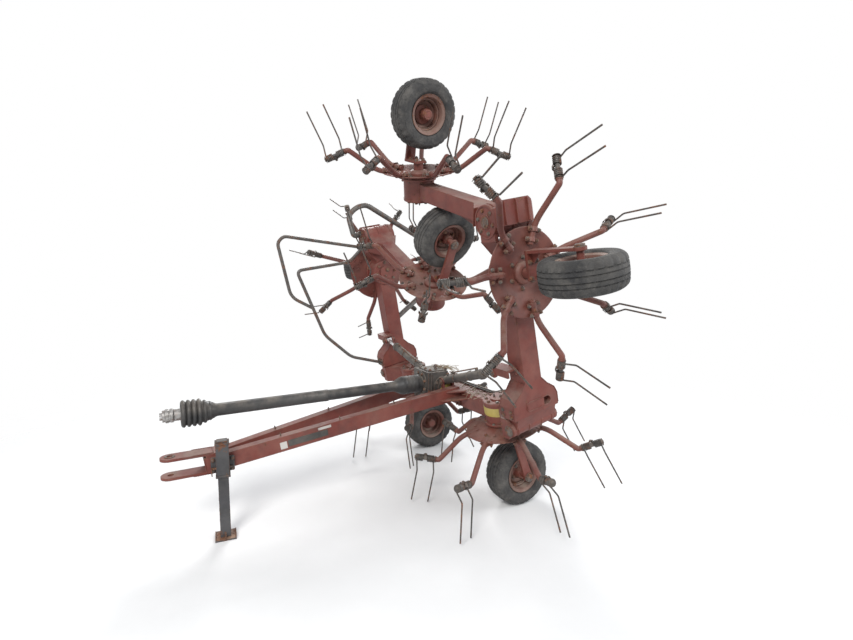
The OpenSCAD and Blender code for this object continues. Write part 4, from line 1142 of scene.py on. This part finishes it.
def guards():
    """Smooth tubes of the right wing's guards with their pads and bolts."""
    tubes, bolts = Shape(WORK["right_wing"]), Shape(WORK["right_wing"])
    lug, foot, end, z = 0.1203, 0.1603, OUTER_HINGE_X, RISE
    hoop = 0.352
    tubes.tube(bent([(end - 0.05, -lug - 0.006, z), (1.86, -0.27, z), (1.88, -0.7, z), (1.33, -0.59, z),
                     (1.09, -0.41, z), (HINGE_X + 0.105, -foot - 0.006, z)], 0.048, 7), 0.0125, 14)
    tubes.tube(bent([(end - 0.062, -lug - 0.006, z - 0.02), (2.15, -0.735, z - 0.02),
                     (2.11, -0.79, z - 0.02), (1.69, -0.78, z - 0.02), (1.57, -0.64, z - 0.01)],
                    0.06, 7), 0.0125, 14)
    tubes.tube(bent([(end + 0.042, -lug - 0.006, z - 0.036), (end + 0.042, -lug - 0.06, z - 0.036),
                     (2.215, -0.171, hoop), (2.268, -0.09, hoop), (2.278, 0, hoop), (1.85, 0.54, hoop),
                     (1.5, 0.54, hoop), (1.3, 0.0715, z - 0.02)], 0.06, 7), 0.021, 16)
    pads = ((end - 0.055, -lug, z), (HINGE_X + 0.105, -foot, z), (end + 0.045, -lug, z - 0.036))
    for x, y, height in pads:
        tubes.plate(square(0.025, 0.004), 0.008, shift(x, y, height) @ FRONT)
        for dx in (-0.018, 0.018):
            for dz in (-0.018, 0.018):
                bolts.bolt(shift(x + dx, y - 0.0078, height + dz) @ FRONT, 0.0035, 0.005)
    tubes.plate(square(0.025, 0.004), 0.008, shift(1.3, 0.0683, z - 0.02) @ FRONT)
    tubes.make("guard_tubes", "right_wing", GUARD_TUBE, "bare_steel", ["right_wing_guards"])
    bolts.make("guard_bolts", "right_wing", *BOLT_STEEL)


def hay(name, place, spots, count, seed, span=0.1):
    """Dry stalks caught where hay collects: thin bent strands round each spot."""
    rng = random.Random(seed)
    shape = Shape(place)
    for _ in range(count):
        spot = Vector(rng.choice(spots))
        base = spot + Vector((rng.uniform(-span, span), rng.uniform(-0.035, 0.035), rng.uniform(0, 0.008)))
        a = rng.uniform(0, 2 * pi)
        length = rng.uniform(0.05, 0.13)
        step = Vector((cos(a), sin(a), rng.uniform(-0.1, 0.25)))
        curl = rng.uniform(-0.5, 0.5)
        line = []
        for i in range(6):
            t = i / 5
            aside = Vector((-sin(a), cos(a), 0)) * curl * length * t * t
            line.append(base + step * length * (t - 0.5) + aside - Vector((0, 0, 0.02 * t * t)))
        shape.tube(line, [0.0014, 0.0016, 0.0015, 0.0013, 0.0011, 0.0007], 4)
    shape.make(name, "chassis", HAY, "red_paint")


drawbar()
jack()
shaft()
gearbox()
guards()
hay("caught_hay_beam", RIG, [(x, y, RISE + 0.062) for x, y in ((0.25, 0.02), (0.42, -0.02), (-0.2, 0.0),
                                                              (-0.45, 0.0))], 110, 4)
hay("caught_hay_gearbox", None, [(0.0, 1.72, SHAFT_Z + 0.102), (0.06, 1.76, SHAFT_Z + 0.101)], 50, 6, 0.07)


# Floor, light and background

def floor():
    """A pale floor that fades out into the white background some metres from the machine."""
    mesh = bpy.data.meshes.new("floor")
    size, ground = 40.0, GROUND
    mesh.from_pydata([(-size, -size, ground), (size, -size, ground), (size, size, ground), (-size, size, ground)],
                     [], [(0, 1, 2, 3)])
    obj = new_object("floor", mesh)
    look = Look("floor_pale")
    look.colour(look.mix(look.patch((0.3, 0.7), 1.5, 6), (0.8, 0.8, 0.795), (0.84, 0.84, 0.835)))
    look.rough(0.9)
    look.bump(look.noise(60, 6), 0.15, 0.002)
    away = look.node("VectorMath", {0: look.coords["Object"], 1: (0.0, 1.2, ground)}, operation="DISTANCE")
    fade = look.span(away.outputs["Value"], 1.6, 4.6)
    clear = look.node("BsdfTransparent").outputs[0]
    blend = look.node("MixShader", {0: fade, 1: look.shader.outputs[0], 2: clear}).outputs[0]
    look.feed(look.tree.nodes["Material Output"].inputs["Surface"], blend)
    mesh.materials.append(look.mat)


def background():
    """White to the camera, in mirrors and through glass; a soft sky for everything it lights."""
    world = bpy.data.worlds.new("world")
    bpy.context.scene.world = world
    world.use_nodes = True
    world.node_tree.nodes.clear()
    sky = Nodes(world.node_tree)
    path = sky.node("LightPath").outputs
    seen = sky.calc("MAXIMUM", path["Is Camera Ray"], path["Is Glossy Ray"])
    seen = sky.calc("MAXIMUM", seen, path["Is Transmission Ray"])
    white = sky.node("Background", {"Color": (1, 1, 1, 1), "Strength": 1.0}).outputs[0]
    soft = sky.node("Background", {"Color": (0.9, 0.94, 1.0, 1), "Strength": 0.55}).outputs[0]
    sky.node("OutputWorld", {"Surface": sky.node("MixShader", {0: seen, 1: soft, 2: white}).outputs[0]})


def lamp(name, spot, size, power, colour=(1, 1, 1)):
    """An area lamp that looks at the machine's middle."""
    data = bpy.data.lights.new(name, "AREA")
    data.size = size
    data.energy = power
    data.color = colour
    obj = new_object(name, data)
    obj.location = spot
    obj.rotation_euler = (Vector((0.0, 1.4, 0.9)) - Vector(spot)).to_track_quat("-Z", "Y").to_euler()


floor()
background()
lamp("key", (5.5, -3.5, 5.5), 3.0, 560, (1.0, 0.985, 0.96))
lamp("fill", (3.5, 6.5, 3.5), 4.0, 220, (0.95, 0.97, 1.0))
lamp("rim", (-6.0, 3.5, 5.0), 3.0, 420)
bpy.context.scene.view_settings.view_transform = "Standard"
